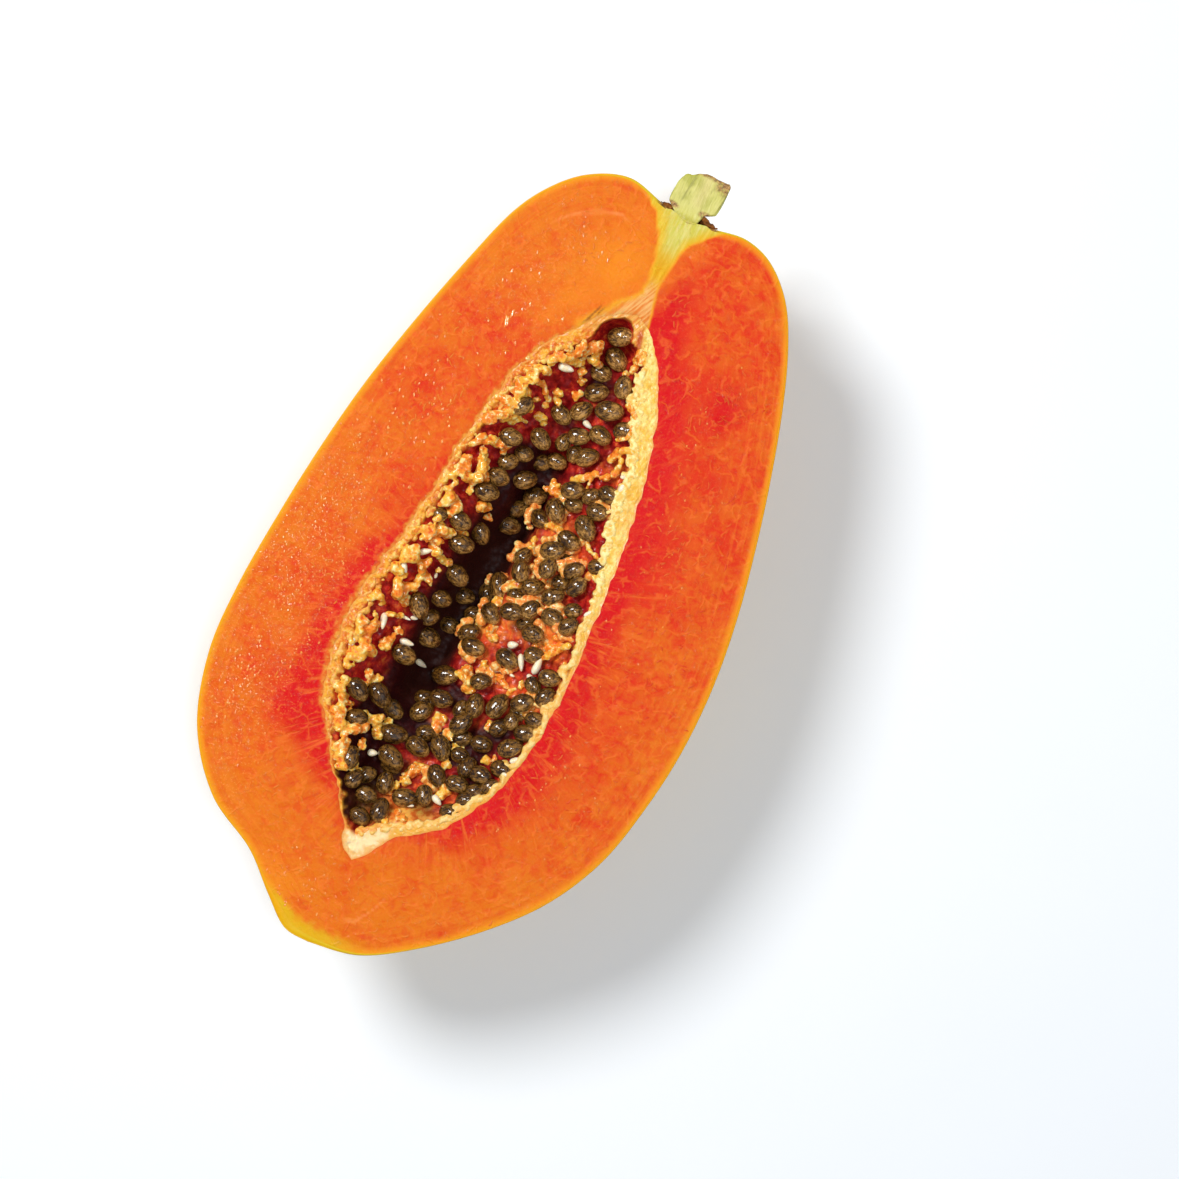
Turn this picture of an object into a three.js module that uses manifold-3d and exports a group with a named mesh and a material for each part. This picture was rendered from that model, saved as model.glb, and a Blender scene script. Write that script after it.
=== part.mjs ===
// Half of a ripe papaya, cut lengthwise through its stalk and lying on its back with the cut face up.
// Millimetres, +Z up, +Y towards the stalk. The origin is on the resting surface, under the middle of the
// half as it is seen from above. Every outline below lies in the cut plane, z = CUT_Z.
//
// Pieces: the peel, the flesh round its seed cavity, the pale lining that the seeds grow on, six clusters
// of seeds and the stump of the stalk. Pieces that touch keep a gap of SEAM between them.
import * as THREE from "three";
import { mergeVertices } from "three/addons/utils/BufferGeometryUtils.js";
import Module from "manifold-3d";

const wasm = await Module();
wasm.setup();

// ---- driving dimensions ------------------------------------------------------------------------------
const CUT_Z = 57.2; // height of the cut face above the resting surface, where the back is pressed flat
const BACK_SKEW = 0.0012; // how much deeper the back gets per millimetre towards the stalk
const BACK_LEVEL_Y = -10; // where the back is as deep as the cut face is half wide
const PEEL = 1.2; // thickness of the peel
const SEAM = 0.3; // gap between pieces that touch
const RIBS = 5; // soft ribs round a whole fruit
const RIB_HEIGHT = 0.014; // height of a rib over the radius
const CAVITY_DEPTH_SHARE = 0.95; // depth of the seed cavity over half its width
const BED_DEPTH_SHARE = 0.62; // depth of the bed of seeds over half its width
const END_DEPTH_SHARE = 0.16; // what is added to that towards the ends, where the bed is narrow
const LINING = 1.5; // least thickness of the lining
const HOLLOW = { from: -30, to: 22, x: -2.6, lean: 0.05, width: 5.6, depth: 6.8 }; // gap in the seeds
// Ripe seeds in their gel. Their few sides make them rounder than life, at the same volume.
const SEED = { long: 7.2, thick: 6.1, raised: 0.58, apart: 4.9, across: 5.0, jitter: 0.25 };
const UNRIPE = { long: 4.2, thick: 3.0, raised: 0.2 }; // the few white seeds that never filled out
const STALK = { x: 2.7, root: 90.5, top: 108.5, radius: 6.2 }; // root and top are places along y

// Cut outlines as [x, y], from the stalk end to the blossom end.
const PEEL_LEFT = [
  [2.7, 95.0], [-4.8, 96.8], [-14.8, 99.1], [-24.3, 95.6], [-31.8, 88.7], [-37.8, 78.7], [-42.8, 63.2],
  [-48.0, 44.2], [-52.6, 24.2], [-55.8, 4.2], [-58.0, -15.8], [-59.4, -35.8], [-58.7, -53.8],
  [-53.3, -71.8], [-42.3, -85.8], [-28.3, -93.8], [-19.3, -101.8], [-11.8, -107.8], [-4.8, -108.5],
];
const PEEL_RIGHT = [
  [2.7, 95.0], [10.2, 96.6], [18.2, 97.7], [26.2, 95.0], [33.8, 87.8], [39.6, 77.2], [44.8, 63.2],
  [49.7, 46.2], [54.0, 28.2], [57.4, 10.2], [59.3, -7.8], [59.2, -25.8], [57.0, -42.8], [53.1, -58.8],
  [45.6, -73.6], [34.8, -86.3], [21.3, -98.0], [8.2, -106.2], [-4.8, -108.5],
];
const CAVITY_LEFT = [
  [1.7, 68.7], [-3.8, 66.0], [-10.8, 59.2], [-16.3, 52.2], [-20.3, 43.2], [-23.1, 30.2], [-25.0, 16.2],
  [-26.8, 1.2], [-29.1, -12.8], [-30.8, -26.8], [-30.8, -40.8], [-27.8, -51.8], [-21.8, -61.3],
  [-14.3, -70.0], [-8.3, -78.3], [-3.8, -84.6],
];
const CAVITY_RIGHT = [
  [1.7, 68.7], [7.0, 65.6], [12.2, 58.6], [16.7, 49.2], [20.2, 37.7], [22.6, 25.2], [24.1, 12.2],
  [25.2, -1.8], [26.0, -15.8], [26.1, -29.8], [24.6, -43.3], [21.0, -55.8], [14.7, -66.8], [6.2, -73.6],
  [0.2, -78.8], [-3.8, -84.6],
];
// The inner edge of the pale lining, where the seeds begin.
const BED_LEFT = [
  [1.2, 65.7], [-4.3, 61.7], [-9.8, 55.2], [-14.3, 47.7], [-18.3, 38.2], [-20.8, 26.2], [-22.8, 13.2],
  [-24.8, 0.2], [-26.8, -12.8], [-27.8, -25.8], [-27.8, -38.8], [-25.3, -49.8], [-20.3, -59.3],
  [-13.8, -67.8], [-9.3, -73.8], [-5.8, -75.8],
];
const BED_RIGHT = [
  [1.2, 65.7], [4.7, 62.2], [7.7, 56.2], [11.2, 49.2], [14.5, 40.2], [17.2, 30.2], [19.7, 18.2],
  [22.0, 4.2], [23.5, -9.8], [24.4, -23.8], [23.8, -37.8], [21.2, -50.8], [16.2, -62.3], [8.2, -69.8],
  [0.2, -74.3], [-5.8, -75.8],
];

// ---- splines and lofts ---------------------------------------------------------------------------------
// An outline as a smooth curve, read by its share of the length from the stalk end.
function outline(points) {
  const curve = new THREE.SplineCurve(points.map(([x, y]) => new THREE.Vector2(x, y)));
  curve.arcLengthDivisions = 400;
  return (share) => curve.getPointAt(share);
}

const smooth = (low, high, x) => THREE.MathUtils.smoothstep(x, low, high);

// A trough hung between two outlines: share runs from the stalk end to the blossom end, and turn from 0
// at the right rim, down under the middle, to 1 at the left rim. depthAt gives the drop at each point.
function trough(left, right, depthAt) {
  return (share, turn) => {
    const a = right(share);
    const b = left(share);
    const angle = Math.PI * turn;
    const reach = Math.cos(angle) / 2;
    const x = (a.x + b.x) / 2 + (a.x - b.x) * reach;
    const y = (a.y + b.y) / 2 + (a.y - b.y) * reach;
    const half = a.distanceTo(b) / 2;
    return new THREE.Vector3(x, y, CUT_Z - depthAt(x, y, half, angle));
  };
}

// The way out of a trough's surface at a point, found from two short steps along it.
function outward(surface, share, turn) {
  const STEP = 0.004;
  const at = THREE.MathUtils.clamp(share, STEP, 1 - STEP);
  const across = THREE.MathUtils.clamp(turn, STEP, 1 - STEP);
  const along = surface(at + STEP, across).sub(surface(at - STEP, across));
  const around = surface(at, across + STEP).sub(surface(at, across - STEP));
  const normal = along.cross(around).normalize();
  if (turn === 0 || turn === 1) normal.setZ(0).normalize();
  return normal;
}

// The same trough moved inwards by a distance, along its own normals.
function inset(surface, distance) {
  return (share, turn) => {
    const point = surface(share, turn);
    if (share === 0 || share === 1) return point.setY(point.y - distance * (share === 0 ? 1 : -1));
    return point.addScaledVector(outward(surface, share, turn), -distance);
  };
}

// A closed mesh of a trough, with walls that rise by LID above the cut plane and a roof over them. The
// stations crowd towards both ends, where the outlines turn.
const LID = 5;
const END_CROWDING = 0.08;
const NEAR = 1e-4; // corners closer than this are one corner
function troughMesh(surface, stations, columns) {
  const rings = [];
  for (let i = 0; i <= stations; i++) {
    const ring = [];
    for (let j = 0; j <= columns; j++) {
      const even = i / stations;
      const share = even - END_CROWDING * Math.sin(2 * Math.PI * even);
      const point = surface(i === stations ? 1 : share, j / columns);
      if (j === 0 || j === columns || i === 0 || i === stations) point.setZ(CUT_Z);
      ring.push(point);
    }
    ring.push(ring[columns].clone().setZ(CUT_Z + LID), ring[0].clone().setZ(CUT_Z + LID));
    rings.push(ring);
  }
  const positions = [];
  const triangle = (a, b, c) => {
    if (a.distanceTo(b) > NEAR && b.distanceTo(c) > NEAR && c.distanceTo(a) > NEAR) {
      positions.push(...a.toArray(), ...b.toArray(), ...c.toArray());
    }
  };
  for (let i = 0; i < stations; i++) {
    const size = rings[i].length;
    for (let j = 0; j < size; j++) {
      const next = (j + 1) % size;
      triangle(rings[i][j], rings[i + 1][j], rings[i + 1][next]);
      triangle(rings[i][j], rings[i + 1][next], rings[i][next]);
    }
  }
  const geometry = new THREE.BufferGeometry();
  geometry.setAttribute("position", new THREE.Float32BufferAttribute(positions, 3));
  return geometry;
}

// ---- between three.js and the solids that can be joined and cut -------------------------------------------
function solid(geometry) {
  const bare = geometry.index ? geometry.toNonIndexed() : geometry.clone();
  bare.deleteAttribute("normal");
  bare.deleteAttribute("uv");
  const merged = mergeVertices(bare, NEAR);
  return new wasm.Manifold(
    new wasm.Mesh({
      numProp: 3,
      vertProperties: merged.attributes.position.array,
      triVerts: new Uint32Array(merged.index.array),
    }),
  );
}

function geometryOf(made) {
  const { vertProperties, triVerts } = made.getMesh();
  const geometry = new THREE.BufferGeometry();
  geometry.setAttribute("position", new THREE.BufferAttribute(new Float32Array(vertProperties), 3));
  geometry.setIndex(new THREE.BufferAttribute(new Uint32Array(triVerts), 1));
  const flat = geometry.toNonIndexed();
  flat.computeVertexNormals();
  return flat;
}

// Everything between two heights.
function slab(low, high) {
  const SIDE = 400;
  return solid(new THREE.BoxGeometry(SIDE, SIDE, high - low).translate(0, 0, (low + high) / 2));
}

// ---- the fruit: peel and flesh ------------------------------------------------------------------------
// The back is round, with soft ribs that fade out towards the cut face. It is cut off flat at z = 0,
// where the soft fruit is pressed down by its own weight.
function backDepth(x, y, half, angle) {
  const rib = 1 - RIB_HEIGHT * Math.sin(angle) * Math.cos(RIBS * (angle - Math.PI / 2));
  return half * (1 + BACK_SKEW * (y - BACK_LEVEL_Y)) * Math.sin(angle) * rib;
}
const fruitSurface = trough(outline(PEEL_LEFT), outline(PEEL_RIGHT), backDepth);
const FRUIT_STATIONS = 28;
const FRUIT_COLUMNS = 20;
function fruitSolid(distance, top) {
  const hull = solid(troughMesh(inset(fruitSurface, distance), FRUIT_STATIONS, FRUIT_COLUMNS));
  return hull.intersect(slab(distance, top));
}

// ---- the seed cavity and the bed on its lining ------------------------------------------------------------
const cavityDepth = (x, y, half, angle) => half * CAVITY_DEPTH_SHARE * Math.sin(angle);
const cavitySurface = trough(outline(CAVITY_LEFT), outline(CAVITY_RIGHT), cavityDepth);
const CAVITY_STATIONS = 26;
const CAVITY_COLUMNS = 16;
const cavitySolid = (distance) =>
  solid(troughMesh(inset(cavitySurface, distance), CAVITY_STATIONS, CAVITY_COLUMNS));

// How far a point lies into the hollow between the seeds: 1 along its middle, 0 outside.
function inHollow(x, y) {
  const END = 9;
  const start = smooth(HOLLOW.from - END, HOLLOW.from + END, y);
  const stop = 1 - smooth(HOLLOW.to - END, HOLLOW.to + END, y);
  const aside = (x - HOLLOW.x - HOLLOW.lean * y) / HOLLOW.width;
  return start * stop * Math.exp(-(aside ** 2));
}

// The bed that the seeds stand on: steep under the left rim, shallower under the right one, with the
// hollow in its floor. Lumps of pulp roughen the left wall, where few seeds ripen.
const LUMP = 1.1;
function bedDepth(x, y, half, angle) {
  const rightward = Math.cos(angle);
  const shallow = 1 - 0.22 * smooth(-0.2, 0.9, rightward);
  const share = BED_DEPTH_SHARE + END_DEPTH_SHARE * (1 - smooth(9, 20, half));
  const floor = half * share * Math.sin(angle) ** 0.85 * shallow;
  const rough = smooth(0.35, 0.8, -rightward) * Math.sin(angle);
  return floor + LUMP * rough * Math.sin(1.05 * x) * Math.sin(0.85 * y) + HOLLOW.depth * inHollow(x, y);
}
const bedSurface = trough(outline(BED_LEFT), outline(BED_RIGHT), bedDepth);
const BED_STATIONS = 34;
const BED_COLUMNS = 22;
const bed = solid(troughMesh(bedSurface, BED_STATIONS, BED_COLUMNS)).intersect(cavitySolid(SEAM + LINING));
const lining = cavitySolid(SEAM).intersect(slab(0, CUT_Z)).subtract(bed);

// ---- seeds ---------------------------------------------------------------------------------------------
let state = 11;
function chance() {
  state = (state * 1664525 + 1013904223) % 4294967296;
  return state / 4294967296;
}
const jitter = (size) => (chance() - 0.5) * 2 * size;

// The middle of a seed of some kind, raised over its site on the bed by a share of its thickness.
function middleOf({ at, inward, size }, kind) {
  return at.clone().addScaledVector(inward, kind.thick * size * kind.raised);
}

// Sites run in staggered lines across the bed, all of them under the cut face and out of the hollow.
const BED_LENGTH = 150;
const HOLLOW_EDGE = 0.25;
function seedSites() {
  const SAMPLES = 60;
  const lines = Math.floor(BED_LENGTH / SEED.apart);
  const sites = [];
  for (let line = 1; line < lines; line++) {
    const walk = [0];
    for (let i = 1; i <= SAMPLES; i++) {
      const here = bedSurface(line / lines, i / SAMPLES);
      walk.push(walk[i - 1] + here.distanceTo(bedSurface(line / lines, (i - 1) / SAMPLES)));
    }
    const start = SEED.across * (line % 2 ? 0.4 : 0.9);
    for (let s = start; s < walk[SAMPLES]; s += SEED.across) {
      const i = walk.findIndex((length) => length > s);
      const evenTurn = (i - (walk[i] - s) / (walk[i] - walk[i - 1])) / SAMPLES;
      const share = line / lines + jitter(SEED.jitter) / BED_LENGTH;
      const turn = evenTurn + jitter(SEED.jitter) / walk[SAMPLES];
      const site = { spin: jitter(1), tilt: jitter(0.35), size: 1 + jitter(0.07), luck: chance() };
      site.at = bedSurface(share, turn);
      site.turn = turn;
      site.inward = outward(bedSurface, share, turn).negate();
      const buried = middleOf(site, SEED).z < CUT_Z - SEED.long / 2;
      if (buried && inHollow(site.at.x, site.at.y) < HOLLOW_EDGE) sites.push(site);
    }
  }
  return sites;
}

// One seed: an egg with few sides, lying on its side.
function seedSolid(site, kind) {
  const { inward, spin, tilt, size } = site;
  const turned = new THREE.Quaternion().setFromUnitVectors(new THREE.Vector3(0, 0, 1), inward);
  turned.multiply(new THREE.Quaternion().setFromEuler(new THREE.Euler(tilt, 0, spin, "ZYX")));
  const scale = new THREE.Vector3(kind.thick, kind.long, kind.thick).multiplyScalar(size / 2);
  const matrix = new THREE.Matrix4().compose(middleOf(site, kind), turned, scale);
  return solid(new THREE.SphereGeometry(1, 6, 4).applyMatrix4(matrix));
}

// Ripe seeds fill the bed but for patches of bare pulp and the left wall, more of which is bare towards
// the stalk. A few seeds on that wall stayed white and small.
const bare = (x, y) => Math.sin(0.42 * x + 0.9) * Math.sin(0.27 * y + 0.35 * x) > 0.8;
const wallTurn = (y) => 0.76 - 0.0035 * y;
const UNRIPE_SHARE = 0.3;
function farFrom(others, distance) {
  return (site) => others.every((other) => middleOf(other, SEED).distanceTo(middleOf(site, SEED)) > distance);
}
const sites = seedSites();
const ripe = sites
  .filter(({ at, turn }) => turn < wallTurn(at.y) && !bare(at.x, at.y))
  .filter((site) => seedSolid(site, SEED).intersect(lining).isEmpty());
const unripe = sites
  .filter(({ at, turn, luck }) => turn > wallTurn(at.y) && luck < UNRIPE_SHARE)
  .filter(farFrom(ripe, SEED.long));

// The ripe seeds hold together in six clusters, which stand apart at three lines across the bed and
// along the hollow. A seed that would touch an earlier cluster, or that none of its own touch, is left out.
const STALK_END = 24;
const MIDDLE = -19;
const BLOSSOM_END = -44;
const APART = SEED.long * 1.12;
const rightOfHollow = ({ x, y }) => x > HOLLOW.x + HOLLOW.lean * y;
const CLUSTERS = {
  seeds_stalk_end: (at) => at.y > STALK_END,
  seeds_left_wall: (at) => at.y <= STALK_END && at.y >= MIDDLE && !rightOfHollow(at),
  seeds_right_wall: (at) => at.y <= STALK_END && at.y >= MIDDLE && rightOfHollow(at),
  seeds_left_corner: (at) => at.y < MIDDLE && at.y >= BLOSSOM_END && !rightOfHollow(at),
  seeds_right_corner: (at) => at.y < MIDDLE && at.y >= BLOSSOM_END && rightOfHollow(at),
  seeds_blossom_end: (at) => at.y < BLOSSOM_END,
};
const joined = (solids) => solids.reduce((all, one) => all.add(one));
const placed = [];
function clusterSolid(belongs) {
  const own = ripe.filter(({ at }) => belongs(at)).filter(farFrom(placed, APART));
  placed.push(...own);
  const bodies = joined(own.map((site) => seedSolid(site, SEED))).decompose();
  return bodies.sort((p, q) => q.volume() - p.volume())[0];
}

// ---- stalk ---------------------------------------------------------------------------------------------
// A woody stub with a wider foot on the peel and a plug that runs down into the flesh. Grown by a
// distance, it is also the hole that it stands in.
function stalkSolid(grown) {
  const SIDES = 20;
  const { root, top, radius } = STALK;
  const profile = [
    [0, root - grown], [0.72, root - grown], [0.78, root + 3.7], [1.05, root + 5.7], [1.02, root + 7.7],
    [0.94, root + 11], [1, top - 1.9], [0.88, top], [0, top],
  ];
  const points = profile.map(([share, y]) => new THREE.Vector2(share && share * radius + grown, y));
  return solid(new THREE.LatheGeometry(points, SIDES).translate(STALK.x, 0, CUT_Z));
}

// ---- the half fruit ------------------------------------------------------------------------------------
const papaya = new THREE.Group();
papaya.name = "papaya_half";
function add(name, made, color, roughness) {
  const look = new THREE.MeshStandardMaterial({ color, roughness, metalness: 0 });
  const mesh = new THREE.Mesh(geometryOf(made), look);
  mesh.name = name;
  papaya.add(mesh);
}

const stalkHole = stalkSolid(SEAM);
const insidePeel = fruitSolid(PEEL, CUT_Z + LID);
const cavity = cavitySolid(0);
add("peel", fruitSolid(0, CUT_Z).subtract(insidePeel).subtract(stalkHole), 0xe9a81c, 0.4);
add("flesh", fruitSolid(PEEL + SEAM, CUT_Z).subtract(cavity).subtract(stalkHole), 0xf0621a, 0.35);
add("lining", lining.add(joined(unripe.map((site) => seedSolid(site, UNRIPE)))), 0xf2b04a, 0.5);
for (const [name, belongs] of Object.entries(CLUSTERS)) add(name, clusterSolid(belongs), 0x2b2013, 0.25);
add("stalk", stalkSolid(0).intersect(slab(0, CUT_Z)), 0x9a9a4e, 0.7);

export default papaya;
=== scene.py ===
import math
import random
import bmesh
import bpy
import numpy as np
from mathutils import Matrix, Vector, noise
from mathutils.bvhtree import BVHTree


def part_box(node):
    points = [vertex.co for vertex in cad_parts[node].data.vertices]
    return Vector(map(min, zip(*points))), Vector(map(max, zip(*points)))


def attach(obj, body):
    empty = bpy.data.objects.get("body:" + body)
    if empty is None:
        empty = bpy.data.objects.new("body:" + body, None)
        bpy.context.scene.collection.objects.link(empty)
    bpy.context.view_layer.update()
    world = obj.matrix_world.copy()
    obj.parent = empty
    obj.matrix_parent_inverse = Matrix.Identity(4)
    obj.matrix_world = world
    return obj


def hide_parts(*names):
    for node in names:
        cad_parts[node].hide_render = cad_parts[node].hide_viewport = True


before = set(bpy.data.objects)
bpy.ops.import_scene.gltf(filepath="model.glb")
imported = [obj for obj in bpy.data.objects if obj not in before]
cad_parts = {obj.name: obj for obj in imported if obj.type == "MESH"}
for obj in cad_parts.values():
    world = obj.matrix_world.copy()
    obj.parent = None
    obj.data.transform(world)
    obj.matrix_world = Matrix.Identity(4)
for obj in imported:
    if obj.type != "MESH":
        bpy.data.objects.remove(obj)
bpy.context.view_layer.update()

# ---- Flesh ----
# The thick wall of ripe flesh, cut flat by a knife: orange under the skin, red towards the seed cavity, wet
# and finely fibrous. A wedge of yellow-green stalk tissue runs down into it from the stalk.

MM = 0.001
CUT_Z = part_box("flesh")[1][2]
FACE_DROP = 0.42 * MM  # the cut face lies this far under the top of the solids, to leave room for its relief
PEEL = 1.2 * MM
# outlines of the cut: x and y in millimetres, from the stalk end down to the blossom end
SKIN_LEFT = [
    (2.7, 95.0), (-4.8, 96.8), (-14.8, 99.1), (-24.3, 95.6), (-31.8, 88.7), (-37.8, 78.7), (-42.8, 63.2),
    (-48.0, 44.2), (-52.6, 24.2), (-55.8, 4.2), (-58.0, -15.8), (-59.4, -35.8), (-58.7, -53.8),
    (-53.3, -71.8), (-42.3, -85.8), (-28.3, -93.8), (-19.3, -101.8), (-11.8, -107.8), (-4.8, -108.5),
]
SKIN_RIGHT = [
    (2.7, 95.0), (10.2, 96.6), (18.2, 97.7), (26.2, 95.0), (33.8, 87.8), (39.6, 77.2), (44.8, 63.2),
    (49.7, 46.2), (54.0, 28.2), (57.4, 10.2), (59.3, -7.8), (59.2, -25.8), (57.0, -42.8), (53.1, -58.8),
    (45.6, -73.6), (34.8, -86.3), (21.3, -98.0), (8.2, -106.2), (-4.8, -108.5),
]
CAVITY_LEFT = [
    (1.7, 68.7), (-3.8, 66.0), (-10.8, 59.2), (-16.3, 52.2), (-20.3, 43.2), (-23.1, 30.2), (-25.0, 16.2),
    (-26.8, 1.2), (-29.1, -12.8), (-30.8, -26.8), (-30.8, -40.8), (-27.8, -51.8), (-21.8, -61.3),
    (-15.2, -69.6), (-10.4, -77.0), (-7.9, -82.2), (-3.8, -85.2),
]
CAVITY_RIGHT = [
    (1.7, 68.7), (7.0, 65.6), (12.2, 58.6), (16.7, 49.2), (20.2, 37.7), (22.6, 25.2), (24.1, 12.2),
    (25.2, -1.8), (26.0, -15.8), (26.1, -29.8), (24.6, -43.3), (21.0, -55.8), (14.7, -66.8), (7.4, -73.0),
    (2.6, -76.6), (-0.6, -82.0), (-3.8, -85.2),
]
FLESH_ROUND, FLESH_RINGS = 1200, 60
RING_CROWDING = 0.06
LIP = 0.05 * MM
WALL_STEPS, WALL_FALL, WALL_LEAN = 7, 0.7 * MM, 0.25 * MM
# waves of the cut face: height and size in millimetres, and seed
FACE_WAVES = [(0.24, 8.0, 0), (0.12, 2.4, 1)]
# y, left edge and right edge of the stalk tissue, in millimetres
STALK_TISSUE = [
    (57.0, -13.5, 6.0), (62.0, -11.0, 5.6), (64.0, -9.5, 5.4), (67.0, -6.6, 5.3), (70.0, -4.6, 5.0),
    (72.0, -2.2, 4.4), (74.0, -0.4, 3.9), (77.5, 0.1, 3.5), (82.6, -0.8, 3.9), (87.5, -2.0, 4.8),
    (90.0, -2.6, 6.0), (93.2, -5.0, 8.9), (95.0, -6.8, 11.0), (97.0, -9.0, 13.0),
]
# soft spots on the cut: middle x and y, half widths along both, in millimetres, and strength
FLUSH_SPOTS = [
    (10, 71, 5, 8, 0.6), (-37, -56, 6, 7, 0.3), (38, 38, 4, 5, 0.35), (33, 18, 7, 12, 0.25),
    (-21, 84, 6, 3, 0.2), (31, 57, 6, 8, 0.7), (9, 79, 4, 6, 0.35), (25, -93, 5, 4, 0.45),
    (-10, -100.5, 5, 1.4, 0.3), (6, -100.8, 4, 1.5, 0.35),
]
PALE_SPOTS = [(-7, 77, 10, 12, 1.0), (-22, -99, 12, 7, 0.7), (-16, 62, 7, 8, 0.5)]
WARM_SPOTS = [(-39, 36, 10, 18, 0.2)]
WET_SPOTS = [(-25, 62, 12, 16, 0.6)]
# dark and light strands of the stalk tissue: above the cavity's tip, in its pale core, at its edges
TISSUE_TONES = [
    ((218, 156, 14), (228, 178, 38)), ((204, 196, 78), (220, 212, 128)), ((220, 176, 30), (228, 198, 70)),
]


def outline(points):
    """A smooth curve through points in millimetres, read in metres by its share of the length."""
    points = np.array(points) * MM
    ends = np.vstack([points[:1], points, points[-1:]])
    place = np.linspace(0, len(points) - 1, 3001)
    first = np.minimum(place.astype(int), len(points) - 2)
    w = (place - first)[:, None]
    a, b, c, d = (ends[first + k] for k in range(4))
    curve = 0.5 * (2 * b + (c - a) * w + (2 * a - 5 * b + 4 * c - d) * w**2 + (3 * b - a - 3 * c + d) * w**3)
    steps = np.hypot(*np.diff(curve, axis=0).T)
    length = np.concatenate([[0], np.cumsum(steps)])
    return lambda share: np.stack([np.interp(share, length / length[-1], curve[:, k]) for k in (0, 1)], -1)


def loop(left, right, count):
    """A closed outline, down the right side from the stalk end and back up the left side."""
    shares = np.arange(count) / count * 2
    return np.where((shares <= 1)[:, None], right(np.minimum(shares, 1)), left(np.minimum(2 - shares, 1)))


def inset(ring, distance):
    """A closed outline moved inwards."""
    along = np.roll(ring, -1, 0) - np.roll(ring, 1, 0)
    inward = np.stack([along[:, 1], -along[:, 0]], -1)
    return ring + distance * inward / np.linalg.norm(inward, axis=1)[:, None]


def quads_of(rows, columns, closed=False):
    """The faces of a net of points, closed along each row if the row is a ring."""
    i, j = np.meshgrid(np.arange(rows - 1), np.arange(columns if closed else columns - 1), indexing="ij")
    k = (j + 1) % columns
    corners = [i * columns + j, i * columns + k, (i + 1) * columns + k, (i + 1) * columns + j]
    return np.stack(corners, -1).reshape(-1, 4)


def full_turn(steps):
    """The angles of so many even steps round a full turn."""
    return np.arange(steps) / steps * 2 * math.pi


def smooth_mesh(name, points, faces):
    mesh = bpy.data.meshes.new(name)
    mesh.from_pydata(points.reshape(-1, 3).tolist(), [], faces.tolist())
    mesh.shade_smooth()
    return mesh


def sheet_mesh(name, points, closed=False):
    """A mesh of the rows and columns of points."""
    return smooth_mesh(name, points, quads_of(*points.shape[:2], closed))


def paint(mesh, name, values):
    """A number for each point of a mesh, kept for its material."""
    mesh.attributes.new(name, "FLOAT", "POINT").data.foreach_set("value", np.ravel(values).astype(np.float32))


def place_piece(name, mesh, material, nodes=()):
    """A piece of the fruit, which grows as one body."""
    piece = bpy.data.objects.new(name, mesh)
    bpy.context.scene.collection.objects.link(piece)
    piece.data.materials.append(material)
    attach(piece, "root")
    if nodes:
        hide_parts(*nodes)


def rough(points, size, seed=0.0):
    """Smooth noise from -1 to 1 at each point, with bumps of about that size in metres."""
    shift = Vector((seed * 7.3, seed * 3.1, seed * 5.7))
    values = [noise.noise(Vector(p) + shift) for p in points.reshape(-1, 3) / size]
    return np.array(values).reshape(points.shape[:-1])


def noise_map(x, y, size):
    """Smooth noise over a flat place, all in millimetres."""
    return rough(np.stack([x, y, np.zeros_like(x)], -1), size)


def smooth(low, high, x):
    """0 up to low, 1 from high on, and a soft slope between them."""
    t = np.clip((x - low) / (high - low), 0, 1)
    return t * t * (3 - 2 * t)


def bell(t, middle, width):
    """1 at the middle, falling softly to nothing within about two widths."""
    return np.exp(-(((t - middle) / width) ** 2))


def spots(x, y, rows):
    """Soft spots, each given by its middle x and y, its half widths and its strength."""
    return sum(force * bell(x, cx, wide) * bell(y, cy, long) for cx, cy, wide, long, force in rows)


def profile(y, rows):
    """The columns of a table, read between its rows at y, which its first column gives."""
    heights, *columns = zip(*rows)
    return [np.interp(y, heights, column) for column in columns]


def tone(red, green, blue):
    """A colour given as screen values from 0 to 255, as the shader wants it."""
    straight = [((c / 255 + 0.055) / 1.055) ** 2.4 if c > 10 else c / 255 / 12.92 for c in (red, green, blue)]
    return (*straight, 1.0)


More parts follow.
